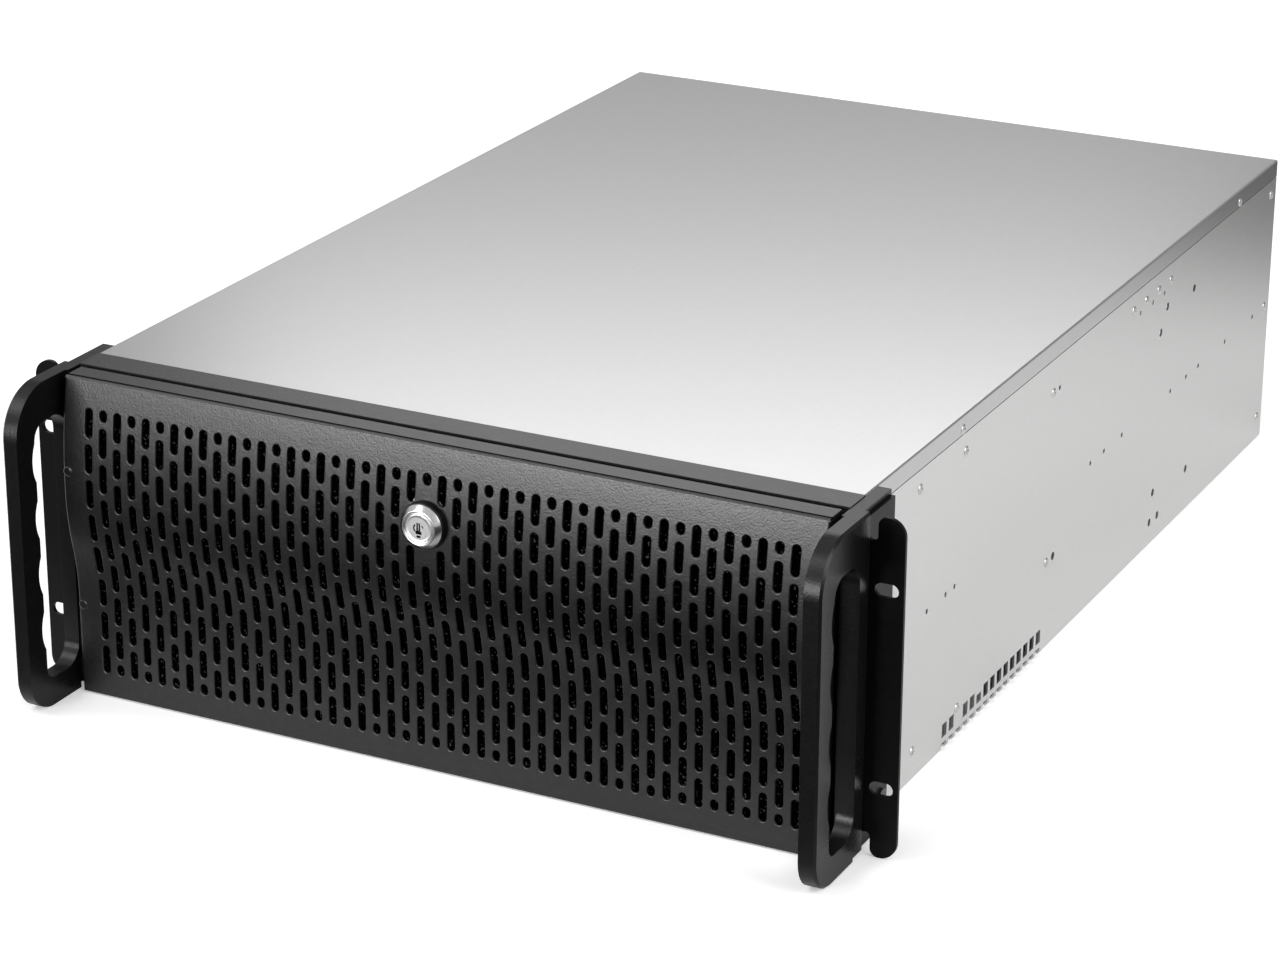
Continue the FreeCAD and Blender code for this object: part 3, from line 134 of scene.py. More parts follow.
class ShaderGroups:
    """Node groups with named sockets, each built once."""

    def __init__(self) -> None:
        """Start with no group built."""
        self.built: dict[Effect, Tree] = {}

    def get(self, effect: Effect) -> Tree:
        """Return the group of an effect, building it at its first use.

        Args:
            effect: which of the shared effects is wanted.

        Returns:
            The node group.
        """
        if effect not in self.built:
            makers = {
                Effect.GRAIN: self._grain, Effect.CLOUDS: self._clouds,
                Effect.ROLLED: self._rolled, Effect.CELLS: self._cells,
            }
            self.built[effect] = makers[effect]()
        return self.built[effect]

    @staticmethod
    def _new(name: str, scale: float, *outputs: str) -> tuple:
        """Make an empty group with one input, Scale, and the named number outputs.

        Args:
            name: the group's name.
            scale: the input's starting value.
            outputs: the outputs' names.

        Returns:
            The tree, its input node and its output node.
        """
        tree = bpy.data.node_groups.new(name, "ShaderNodeTree")
        kind = "NodeSocketFloat"
        tree.interface.new_socket("Scale", in_out="INPUT", socket_type=kind).default_value = scale
        for label in outputs:
            tree.interface.new_socket(label, in_out="OUTPUT", socket_type=kind)
        return tree, tree.nodes.new("NodeGroupInput"), tree.nodes.new("NodeGroupOutput")

    @staticmethod
    def _noise(tree: Tree, detail: float) -> bpy.types.Node:
        """Add noise on object coordinates.

        Args:
            tree: where it goes.
            detail: its detail.

        Returns:
            The node, whose Scale is left for the caller to join.
        """
        noise = add_node(tree, "TexNoise", {"Detail": detail})
        join(tree, (add_node(tree, "TexCoord"), "Object", noise, "Vector"))
        return noise

    def _grain(self) -> Tree:
        """Height and tone of a fine orange-peel grain: two noises, one five times coarser.

        Returns:
            The group.
        """
        tree, into, out = self._new("fine_grain", 1200.0, "Height", "Tone")
        coarse = self._noise(tree, 2.0)
        fine = self._noise(tree, 3.0)
        times = add_node(tree, "Math", {1: 0.2}, operation="MULTIPLY")
        mix = add_node(tree, "Math", {1: 0.6}, operation="MULTIPLY_ADD")
        spread = add_node(tree, "MapRange", {"From Min": 0.62, "From Max": 0.98})
        join(
            tree, (into, "Scale", fine, "Scale"), (into, "Scale", times, 0),
            (times, 0, coarse, "Scale"), (coarse, "Fac", mix, 0), (fine, "Fac", mix, 2),
            (mix, 0, spread, "Value"), (mix, 0, out, "Height"), (spread, "Result", out, "Tone"),
        )
        return tree

    def _cells(self) -> Tree:
        """Open foam: hollows between the walls of Voronoi cells, and a few struts that shine.

        Returns:
            The group.
        """
        tree, into, out = self._new("open_cells", 900.0, "Height", "Tone")
        place = add_node(tree, "TexCoord")
        cells = add_node(tree, "TexVoronoi")
        glints = self._noise(tree, 1.0)
        spread = add_node(tree, "MapRange", {"From Min": 0.66, "From Max": 0.74})
        join(
            tree, (place, "Object", cells, "Vector"), (into, "Scale", cells, "Scale"),
            (into, "Scale", glints, "Scale"), (glints, "Fac", spread, "Value"),
            (spread, "Result", out, "Tone"), (cells, "Distance", out, "Height"),
        )
        return tree

    def _clouds(self) -> Tree:
        """Slow cloudy variation between nought and one, a few centimetres across.

        Returns:
            The group.
        """
        tree, into, out = self._new("cloudy_tone", 14.0, "Mask")
        noise = self._noise(tree, 4.0)
        spread = add_node(tree, "MapRange", {"From Min": 0.32, "From Max": 0.68})
        join(
            tree, (into, "Scale", noise, "Scale"), (noise, "Fac", spread, "Value"),
            (spread, "Result", out, "Mask"),
        )
        return tree

    def _rolled(self) -> Tree:
        """Tone of rolled zinc sheet: noise drawn out along Y into short streaks.

        Returns:
            The group.
        """
        tree, into, out = self._new("rolled_sheet", 500.0, "Tone")
        place = add_node(tree, "TexCoord")
        stretch = add_node(tree, "Mapping", {"Scale": (1.0, 0.12, 1.0)})
        noise = add_node(tree, "TexNoise", {"Detail": 3.0})
        join(
            tree, (place, "Object", stretch, "Vector"), (stretch, "Vector", noise, "Vector"),
            (into, "Scale", noise, "Scale"), (noise, "Fac", out, "Tone"),
        )
        return tree


# ---------------- finishes
@dataclass(frozen=True)
class Finish:
    """One finish: two tones mixed by a pattern, with gloss and grain.

    Attributes:
        name: the material's name.
        dark, light: the two ends of the colour, linear.
        metallic, roughness: of the Principled shader.
        swing: what the clouds add to the roughness at most.
        scale, effect: the pattern's scale in features per metre, and the pattern.
        bump: height of the grain in metres, for a pattern with a Height.
        specular: the shader's specular level.
    """

    name: str
    dark: Colour
    light: Colour
    metallic: float
    roughness: float
    swing: float
    scale: float
    effect: Effect = Effect.GRAIN
    bump: float = 0.0
    specular: float = 0.5

    def material(self, groups: ShaderGroups) -> bpy.types.Material:
        """Build the material.

        Args:
            groups: where the shared node groups come from.

        Returns:
            The material.
        """
        made = bpy.data.materials.new(self.name)
        made.use_nodes = True
        tree = made.node_tree
        shader = tree.nodes["Principled BSDF"]
        shader.inputs["Metallic"].default_value = self.metallic
        shader.inputs["Specular IOR Level"].default_value = self.specular
        pattern = add_node(tree, "Group", {"Scale": self.scale}, node_tree=groups.get(self.effect))
        clouds = add_node(tree, "Group", node_tree=groups.get(Effect.CLOUDS))
        ends = {"A": (*self.dark, 1.0), "B": (*self.light, 1.0)}
        tone = add_node(tree, "Mix", ends, data_type="RGBA")
        reach = {"To Min": self.roughness, "To Max": self.roughness + self.swing}
        gloss = add_node(tree, "MapRange", reach)
        join(
            tree, (pattern, "Tone", tone, "Factor"), (tone, "Result", shader, "Base Color"),
            (clouds, "Mask", gloss, "Value"), (gloss, "Result", shader, "Roughness"),
        )
        if self.bump > 0:
            bump = add_node(tree, "Bump", {"Distance": self.bump, "Strength": 1.0})
            join(tree, (pattern, "Height", bump, "Height"), (bump, "Normal", shader, "Normal"))
        return made


def grey(value: float) -> Colour:
    """A neutral colour."""
    return (value, value, value)


POWDER = Finish(
    "black_powder_coat", (0.0045, 0.0045, 0.0047), (0.0095, 0.0095, 0.010), 0.0, 0.31, 0.02, 1150.0,
    bump=0.00012,
)
MOULDED = Finish(
    "satin_black_moulding", grey(0.0035), grey(0.006), 0.0, 0.27, 0.02, 900.0, bump=0.00009,
    specular=0.24,
)
BLACK_SHEET = Finish(
    "black_powder_ears", (0.0015, 0.0015, 0.0016), (0.0035, 0.0035, 0.0037), 0.0, 0.36, 0.02,
    1100.0, bump=0.00008, specular=0.14,
)
# Painted shade: a darker copy of the zinc sheet for the upward-facing top cover, which holds down
# how bright it renders under the lamps above.
ZINC_COVER_SHADED = Finish(
    "zinc_cover_painted_darker", grey(0.53), grey(0.58), 0.95, 0.30, 0.0, 1100.0, Effect.ROLLED,
)
ZINC = Finish(
    "zinc_sheet", (0.655, 0.655, 0.65), (0.705, 0.705, 0.70), 0.9, 0.33, 0.0, 900.0, Effect.ROLLED,
)
# Painted shade: the cages and fan wall get zinc far darker than the same sheet elsewhere, so the
# inside seen through the vents and openings looks shaded.
ZINC_PAINTED_SHADE = Finish(
    "zinc_painted_shade", grey(0.05), grey(0.08), 0.5, 0.55, 0.05, 900.0, Effect.ROLLED,
)
FOAM = Finish(
    "filter_foam", grey(0.0004), grey(0.05), 0.0, 0.95, 0.05, 750.0, Effect.CELLS, 0.0005,
    specular=0.0,
)
CHROME = Finish("bright_chrome", (0.64, 0.64, 0.65), (0.72, 0.72, 0.73), 1.0, 0.26, 0.03, 400.0)
SATIN_STEEL = Finish("satin_lock_face", grey(0.70), grey(0.86), 1.0, 0.34, 0.05, 2200.0)
# Painted shade: a darker copy of the chrome for the lock head's cone and the body behind it.
CHROME_CONE_SHADED = Finish("cone_chrome_painted_darker", (0.38, 0.38, 0.39), (0.46, 0.46, 0.47), 1.0, 0.17, 0.03, 400.0)
KEYWAY = Finish("keyway_shadow", grey(0.002), grey(0.01), 0.0, 0.5, 0.05, 900.0, specular=0.1)
PLATED = Finish(
    "zinc_plated_fastener", (0.50, 0.50, 0.49), (0.64, 0.64, 0.63), 0.95, 0.24, 0.05, 900.0,
)
BLACK_SCREW = Finish("black_screw", grey(0.006), grey(0.02), 0.0, 0.26, 0.05, 900.0)
LENS = Finish("lamp_lens", (0.6, 0.63, 0.6), (0.75, 0.78, 0.75), 0.0, 0.2, 0.05, 600.0)
BRASS = Finish("turned_brass", (0.6, 0.45, 0.2), (0.75, 0.58, 0.28), 1.0, 0.3, 0.05, 600.0)

NODE_FINISH = {
    node: finish
    for finish, names in (
        (ZINC_COVER_SHADED, "top_cover"),
        # the cages and fan wall take the darkened zinc: painted shade
        (ZINC_PAINTED_SHADE, "cage_left cage_middle cage_right fan_wall"),
        (POWDER, "front_door front_frame filter_strip_right filter_strip_left"),
        (BLACK_SHEET, "ear_right ear_left"),
        (MOULDED, "handle_right handle_left control_block power_button reset_button lock_ring"),
        (FOAM, "filter_mat"),
        (SATIN_STEEL, "lock_barrel lock_plug"),
        (PLATED, "lock_nut lock_cam cam_nut bus_port_1 bus_port_2 hinge_pins"),
        (PLATED, "side_screws cover_screws blank_screws"),
        (BLACK_SCREW, "ear_screws door_screws"),
        (LENS, "status_lamps"),
        (BRASS, "standoffs"),
    )
    for node in names.split()
}


class Wardrobe:
    """All materials, each made once, and put on CAD nodes and new pieces."""

    def __init__(self) -> None:
        """Start with no material made."""
        self.groups = ShaderGroups()
        self.made: dict[str, bpy.types.Material] = {}

    def get(self, finish: Finish) -> bpy.types.Material:
        """Return the material of a finish, building it at its first use.

        Args:
            finish: which finish is wanted.

        Returns:
            The material.
        """
        if finish.name not in self.made:
            self.made[finish.name] = finish.material(self.groups)
        return self.made[finish.name]

    def dress(self, piece: Piece, *finishes: Finish) -> None:
        """Give a piece its materials; its faces keep the numbers that say which one is theirs.

        Args:
            piece: a CAD node or a new piece.
            finishes: its finishes, in the order of those numbers.
        """
        numbers = np.empty(len(piece.data.polygons), dtype=np.int32)
        piece.data.polygons.foreach_get("material_index", numbers)
        piece.data.materials.clear()
        for finish in finishes:
            piece.data.materials.append(self.get(finish))
        number_faces(piece, np.minimum(numbers, len(finishes) - 1))

    def dress_nodes(self, nodes: dict[str, Piece]) -> None:
        """Give every CAD node its finish; one that isn't listed is bare zinc sheet."""
        for name, node in nodes.items():
            self.dress(node, NODE_FINISH.get(name, ZINC))

    def install(
        self, piece: Piece, node: str, body: str, slot: str, *finishes: Finish,
    ) -> None:
        """Dress a new piece and put it in a CAD node's place.

        Args:
            piece: the new piece.
            node: the CAD node that it replaces.
            body: the body that it rides.
            slot: not used.
            finishes: its finishes, in the order of its faces' numbers.
        """
        self.dress(piece, *finishes)
        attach(piece, body)
        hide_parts(node)
        log.info("%s: %d faces", piece.name, len(piece.data.polygons))


# ---------------- stage
@dataclass(frozen=True)
class Lamp:
    """One soft box light.

    Attributes:
        name: the light's name.
        place: where it hangs, in metres.
        aim: the point that it faces.
        size: width and height in metres.
        power: in watts.
    """

    name: str
    place: Place
    aim: Place
    size: Span
    power: float

    def hang(self) -> None:
        """Add the light, out of the camera's sight."""
        data = bpy.data.lights.new(self.name, "AREA")
        data.shape = "RECTANGLE"
        data.size, data.size_y = self.size
        data.energy = self.power
        lamp = add_object(self.name, data)
        lamp.visible_camera = False
        lamp.location = self.place
        way = Vector(self.aim) - Vector(self.place)
        lamp.rotation_euler = way.to_track_quat("-Z", "Y").to_euler()


LAMPS = (
    Lamp("key_left", (-1.6, -1.6, 2.6), (0.0, -0.1, 0.1), (1.6, 1.6), 30.0),
    Lamp("side_right", (2.3, -0.5, 1.5), (0.3, 0.1, 0.0), (1.6, 1.6), 34.0),
    Lamp("low_front", (-0.70, -2.20, 0.35), (0.0, -0.3, 0.12), (1.14, 0.6), 30.0),
    Lamp("over_rear", (-0.62, 1.33, 1.13), (0.0, 0.0, 0.176), (1.05, 0.51), 4.3),
)


@dataclass
class Studio:
    """Camera, floor, wall, world and lamps.

    Attributes:
        lens, sensor: focal length and width of the sensor in millimetres.
        azimuth, elevation, roll: the camera's direction in degrees.
        place: the camera's place in metres.
        floor_reach: from the middle of the floor to its edges, in metres.
        floor_seen: the floor's colour to the camera; floor_lift: its glow to the camera alone.
        floor_near: the floor's colour as light and mirrors find it, before the table's edge and
            behind it; it changes between the two Y places of table_edge.
        table_edge, table_end: Y places; the colour falls to the share of floor_far between
            those of table_end.
        wall_glow: strength of the wall, which only reflections show.
        sky: strength of the world as light on the object.
    """

    lens: float = 107.37
    sensor: float = 36.0
    azimuth: float = 26.81
    elevation: float = 21.44
    roll: float = 0.22
    place: Place = (0.8618, -1.7835, 0.8288)
    floor_reach: float = 12.0
    floor_seen: float = 0.96
    floor_lift: float = 0.3
    floor_near: Span = (0.04, 0.94)
    floor_far: float = 0.12
    table_edge: Span = (-0.40, -0.335)
    table_end: Span = (0.42, 0.85)
    wall_glow: float = 0.36
    sky: float = 0.55

    def camera(self) -> None:
        """Set up the camera: right, up and backward axes from azimuth, elevation and roll."""
        turn, tilt, lean = (math.radians(v) for v in (self.azimuth, self.elevation, self.roll))
        ahead = (-math.sin(turn) * math.cos(tilt), math.cos(turn) * math.cos(tilt), -math.sin(tilt))
        forward = Vector(ahead)
        level = Vector((math.cos(turn), math.sin(turn), 0.0))
        upright = level.cross(forward)
        right = level * math.cos(lean) + upright * math.sin(lean)
        up = upright * math.cos(lean) - level * math.sin(lean)
        data = bpy.data.cameras.new("camera")
        data.lens = self.lens
        data.sensor_width = self.sensor
        data.clip_start, data.clip_end = 0.05, 50.0
        camera = add_object("camera", data)
        axes = Matrix((right, up, -forward)).transposed().to_4x4()
        camera.matrix_world = Matrix.Translation(self.place) @ axes
        bpy.context.scene.camera = camera

    @staticmethod
    def panel(name: str, finish: str, corners: list[Place], values: dict) -> Piece:
        """Add one flat rectangle of the stage with a material of its own.

        Args:
            name: the object's name.
            finish: the material's name.
            corners: its four corners, in metres.
            values: what the material's Principled shader is set to.

        Returns:
            The object.
        """
        mesh = bpy.data.meshes.new(name)
        mesh.from_pydata(corners, [], [(0, 1, 2, 3)])
        material = bpy.data.materials.new(finish)
        material.use_nodes = True
        for socket, value in values.items():
            material.node_tree.nodes["Principled BSDF"].inputs[socket].default_value = value
        mesh.materials.append(material)
        return add_object(name, mesh)

    def floor(self) -> None:
        """Lay a plain white floor that shows as white and keeps the shadow."""
        far = self.floor_reach
        corners = [(-far, -far, 0.0), (far, -far, 0.0), (far, far, 0.0), (-far, far, 0.0)]
        floor = self.panel("floor", "floor_white", corners, {
            "Roughness": 0.9, "Specular IOR Level": 0.1, "Emission Color": WHITE,
        })
        tree = floor.data.materials[0].node_tree
        shader = tree.nodes["Principled BSDF"]
        rays = add_node(tree, "LightPath")
        lift = add_node(tree, "Math", {1: self.floor_lift}, operation="MULTIPLY")
        place = add_node(tree, "TexCoord")
        split = add_node(tree, "SeparateXYZ")
        near, fade = (
            add_node(tree, "MapRange", {
                "From Min": start, "From Max": end, "To Min": first, "To Max": second,
            }, interpolation_type="SMOOTHSTEP")
            for (start, end), (first, second) in (
                (self.table_edge, self.floor_near), (self.table_end, (1.0, self.floor_far)),
            )
        )
        both = add_node(tree, "Math", operation="MULTIPLY")
        seen = add_node(tree, "Mix", {"B": (*grey(self.floor_seen), 1.0)}, data_type="RGBA")
        join(
            tree, (rays, "Is Camera Ray", lift, 0), (lift, 0, shader, "Emission Strength"),
            (place, "Object", split, 0), (split, "Y", near, "Value"),
            (rays, "Is Camera Ray", seen, "Factor"), (split, "Y", fade, "Value"),
            (near, "Result", both, 0), (fade, "Result", both, 1), (both, 0, seen, "A"),
            (seen, "Result", shader, "Base Color"),
        )

    def wall(self) -> None:
        """Stand a grey wall behind the case, which shows only in reflections."""
        left, right, back, high = -6.0, 5.0, 2.4, 5.0
        corners = [(left, back, 0.0), (right, back, 0.0), (right, back, high), (left, back, high)]
        wall = self.panel("wall", "wall_grey", corners, {
            "Base Color": (0.0, 0.0, 0.0, 1.0), "Specular IOR Level": 0.0,
            "Emission Color": WHITE, "Emission Strength": self.wall_glow,
        })
        wall.visible_camera = False

    def world(self) -> None:
        """White to the camera, to reflections and through glass, softer as light on the object."""
        world = bpy.data.worlds.new("studio")
        bpy.context.scene.world = world
        world.use_nodes = True
        tree = world.node_tree
        sky = tree.nodes["Background"]
        sky.inputs["Color"].default_value = WHITE
        sky.inputs["Strength"].default_value = self.sky
        white = add_node(tree, "Background", {"Color": WHITE, "Strength": 1.0})
        rays = add_node(tree, "LightPath")
        either = add_node(tree, "Math", operation="MAXIMUM")
        any_of = add_node(tree, "Math", operation="MAXIMUM")
        blend = add_node(tree, "MixShader")
        join(
            tree, (rays, "Is Camera Ray", either, 0), (rays, "Is Transmission Ray", either, 1),
            (either, 0, any_of, 0), (rays, "Is Glossy Ray", any_of, 1),
            (any_of, 0, blend, "Fac"), (sky, 0, blend, 1), (white, 0, blend, 2),
            (blend, 0, tree.nodes["World Output"], "Surface"),
        )

    def build(self) -> None:
        """Set up everything round the object."""
        self.camera()
        self.floor()
        self.wall()
        self.world()
        for lamp in LAMPS:
            lamp.hang()
        bpy.context.scene.view_settings.view_transform = "Standard"


# ---------------- meshes
def new_piece(name: str, points: Array, faces: Array, smooth: float = 35.0) -> Piece:
    """Make a mesh object at the origin, shaded smooth up to an angle.

    Args:
        name: the piece's name.
        points: (n, 3) places in metres.
        faces: rows of point numbers.
        smooth: edges sharper than this many degrees stay sharp.

    Returns:
        The new object, linked to the scene.
    """
    mesh = bpy.data.meshes.new(name)
    mesh.from_pydata(points.tolist(), [], faces.tolist())
    mesh.validate()
    mesh.update()
    piece = add_object(name, mesh)
    mesh.shade_smooth()
    mesh.set_sharp_from_angle(angle=math.radians(smooth))
    return piece


def number_faces(piece: Piece, numbers: Array) -> None:
    """Say for every face which of the piece's materials it has."""
    piece.data.polygons.foreach_set("material_index", numbers.astype(np.int32))


def strip_faces(rows: int, columns: int, closed: bool = False, start: int = 0) -> Array:
    """Quads of a grid whose points run along the columns first.

    Args:
        rows: points along the slow direction.
        columns: points along the fast direction.
        closed: whether the last column joins the first.
        start: number of the grid's first point.

    Returns:
        (n, 4) point numbers.
    """
    last = columns if closed else columns - 1
    row, column = np.meshgrid(np.arange(rows - 1), np.arange(last), indexing="ij")
    after = (column + 1) % columns
    quads = np.stack([row * columns + column, row * columns + after,
                      (row + 1) * columns + after, (row + 1) * columns + column], axis=-1)
    return quads.reshape(-1, 4) + start


class Patchwork:
    """Grids of points gathered into one mesh."""

    def __init__(self) -> None:
        """Start empty."""
        self.points: list[Array] = []
        self.faces: list[Array] = []
        self.count = 0

    def add(self, block: Array, flip: bool = False, closed: bool = False) -> None:
        """Add a grid with its quads.

        Args:
            block: (rows, columns, 3) places in metres.
            flip: whether the quads face the other way.
            closed: whether the last column joins the first.
        """
        rows, columns = block.shape[:2]
        quads = strip_faces(rows, columns, closed, self.count)
        self.points.append(block.reshape(-1, 3))
        self.faces.append(quads[:, ::-1] if flip else quads)
        self.count += rows * columns

    def piece(self, name: str, smooth: float = 35.0) -> Piece:
        """Make the piece of all that was added."""
        return new_piece(name, np.concatenate(self.points), np.concatenate(self.faces), smooth)


def softened(node: Piece, name: str, width: float) -> Piece:
    """Copy a CAD node's mesh, merge it into flat faces and round its sharp edges.

    Args:
        node: the CAD node, left as it is.
        name: the new piece's name.
        width: how far the rounding reaches from an edge, in metres; nought leaves it sharp.

    Returns:
        The new piece.
    """
    same_point, same_plane, sharp_edge, sharp_shade = 1e-6, 0.5, 30.0, 28.0
    source = add_object(name + "_source", node.data.copy())
    weld = source.modifiers.new("weld", "WELD")
    weld.merge_threshold = same_point
    flat = source.modifiers.new("flat", "DECIMATE")
    flat.decimate_type = "DISSOLVE"
    flat.angle_limit = math.radians(same_plane)
    if width > 0:
        bevel = source.modifiers.new("bevel", "BEVEL")
        bevel.width = width
        bevel.segments = 3
        bevel.limit_method = "ANGLE"
        bevel.angle_limit = math.radians(sharp_edge)
    bpy.context.view_layer.update()
    result = source.evaluated_get(bpy.context.evaluated_depsgraph_get())
    mesh = bpy.data.meshes.new_from_object(result)
    bpy.data.objects.remove(source)
    mesh.name = name
    piece = add_object(name, mesh)
    mesh.shade_smooth()
    mesh.set_sharp_from_angle(angle=math.radians(sharp_shade))
    even = piece.modifiers.new("even_normals", "WEIGHTED_NORMAL")
    even.keep_sharp = True
    return piece


def rings_of(radius: Array, turns: int) -> tuple[Array, Array]:
    """Points on circles about the middle.

    Args:
        radius: the circles' radii.
        turns: points round each.

    Returns:
        How far they are across and up, each a row per circle.
    """
    angle = np.linspace(0, 2 * math.pi, turns, endpoint=False)
    return radius[:, None] * np.cos(angle), radius[:, None] * np.sin(angle)


def lathe(profile: list[Span], turns: int) -> tuple[Array, Array]:
    """Turn a profile about the Y axis.

    Args:
        profile: (radius, y) pairs in metres, walked so that the faces look outwards.
        turns: points round the circle.

    Returns:
        Points and quads; each profile point gives one ring.
    """
    radius, along = np.array(profile).T
    across, up = rings_of(radius, turns)
    points = np.stack(np.broadcast_arrays(across, along[:, None], up), axis=-1)
    return points.reshape(-1, 3), strip_faces(len(profile), turns, True)[:, ::-1]


def split_parts(node: Piece) -> list[tuple[Array, Array]]:
    """Boxes of the separate solids in a CAD node.

    Points at the same place count as one. Each point takes the lowest number that it can reach
    along the mesh's edges, so all points of one solid end with the same number.

    Args:
        node: the CAD node.

    Returns:
        Lowest and highest corner of every solid.
    """
    data = node.data
    flat = np.empty(len(data.vertices) * 3)
    data.vertices.foreach_get("co", flat)
    points = flat.reshape(-1, 3)
    ends = np.empty(len(data.edges) * 2, dtype=int)
    data.edges.foreach_get("vertices", ends)
    _, same = np.unique(np.round(points, 6), axis=0, return_inverse=True)
    label = same.reshape(-1)
    ends = label[ends.reshape(-1, 2)]
    group = np.arange(label.max() + 1)
    most_passes = 200
    for _ in range(most_passes):
        lowest = np.minimum(group[ends[:, 0]], group[ends[:, 1]])
        before = group.copy()
        np.minimum.at(group, ends[:, 0], lowest)
        np.minimum.at(group, ends[:, 1], lowest)
        group = group[group]
        if np.array_equal(before, group):
            break
    whole = group[label]
    return [(points[whole == k].min(0), points[whole == k].max(0)) for k in np.unique(whole)]


@dataclass
class ScrewHeads:
    """Round heads with a cross recess, in place of a group of plain CAD fasteners.

    Attributes:
        node: the CAD node that the piece stands for.
        name: the new piece's name.
        axis: the screws' axis, 0 for X and 1 for Y.
        outwards: which way the heads face along it; nought means away from the middle.
        rings: the rings' radii as shares of the head's.
        turns: points round a ring.
        rise: height of the head as a share of its width; dome: how much of it the dome fills.
        shank, recess, arm: radius of the shank, reach of the cross and half the width of its
            arms, as shares of the head's radius.
        press: depth of the cross as a share of the dome's height.
    """

    node: Piece
    name: str
    axis: int
    outwards: int = 0
    rings: tuple[float, ...] = (0.0, 0.12, 0.22, 0.32, 0.42, 0.52, 0.66, 0.8, 0.9, 0.97, 1.0)
    turns: int = 32
    rise: float = 0.16
    dome: float = 0.98
    shank: float = 0.45
    recess: float = 0.53
    arm: float = 0.17
    press: float = 0.9

    def build(self) -> Piece:
        """Make all heads, each a grid of rings from its middle out and back to the shank's end.

        The dome's height is the root of one less the fourth power of the radius, less the press
        inside the cross.

        Returns:
            The piece.
        """
        radius = np.array(self.rings)
        across, up = rings_of(radius, self.turns)
        radius = radius[:, None]
        cross = (np.minimum(np.abs(across), np.abs(up)) < self.arm) & (radius < self.recess)
        height = np.sqrt(np.maximum(1 - radius**4, 0))
        height = np.where(cross, height - self.press, height)
        height[-1] = 0.0
        side, top = [k for k in range(3) if k != self.axis]
        patches = Patchwork()
        for low, high in split_parts(self.node):
            middle = (low + high) / 2
            head = (high[side] - low[side]) / 2
            sense = self.outwards or (1 if middle[self.axis] > 0 else -1)
            tip, end = (high, low) if sense > 0 else (low, high)
            rise = self.rise * head * 2
            seat = tip[self.axis] - sense * rise
            grid = np.zeros((len(self.rings) + 3, self.turns, 3))
            grid[:-3, :, side] = across * head
            grid[:-3, :, top] = up * head
            grid[:-3, :, self.axis] = sense * height * rise * self.dome
            grid[-3, :, side] = across[-1] * head * self.shank
            grid[-3, :, top] = up[-1] * head * self.shank
            grid[-2] = grid[-3]
            grid[-2:, :, self.axis] = end[self.axis] - seat
            grid[..., side] += middle[side]
            grid[..., top] += middle[top]
            grid[..., self.axis] += seat
            patches.add(grid, flip=(self.axis == 0) == (sense > 0), closed=True)
        return patches.piece(self.name, 40.0)


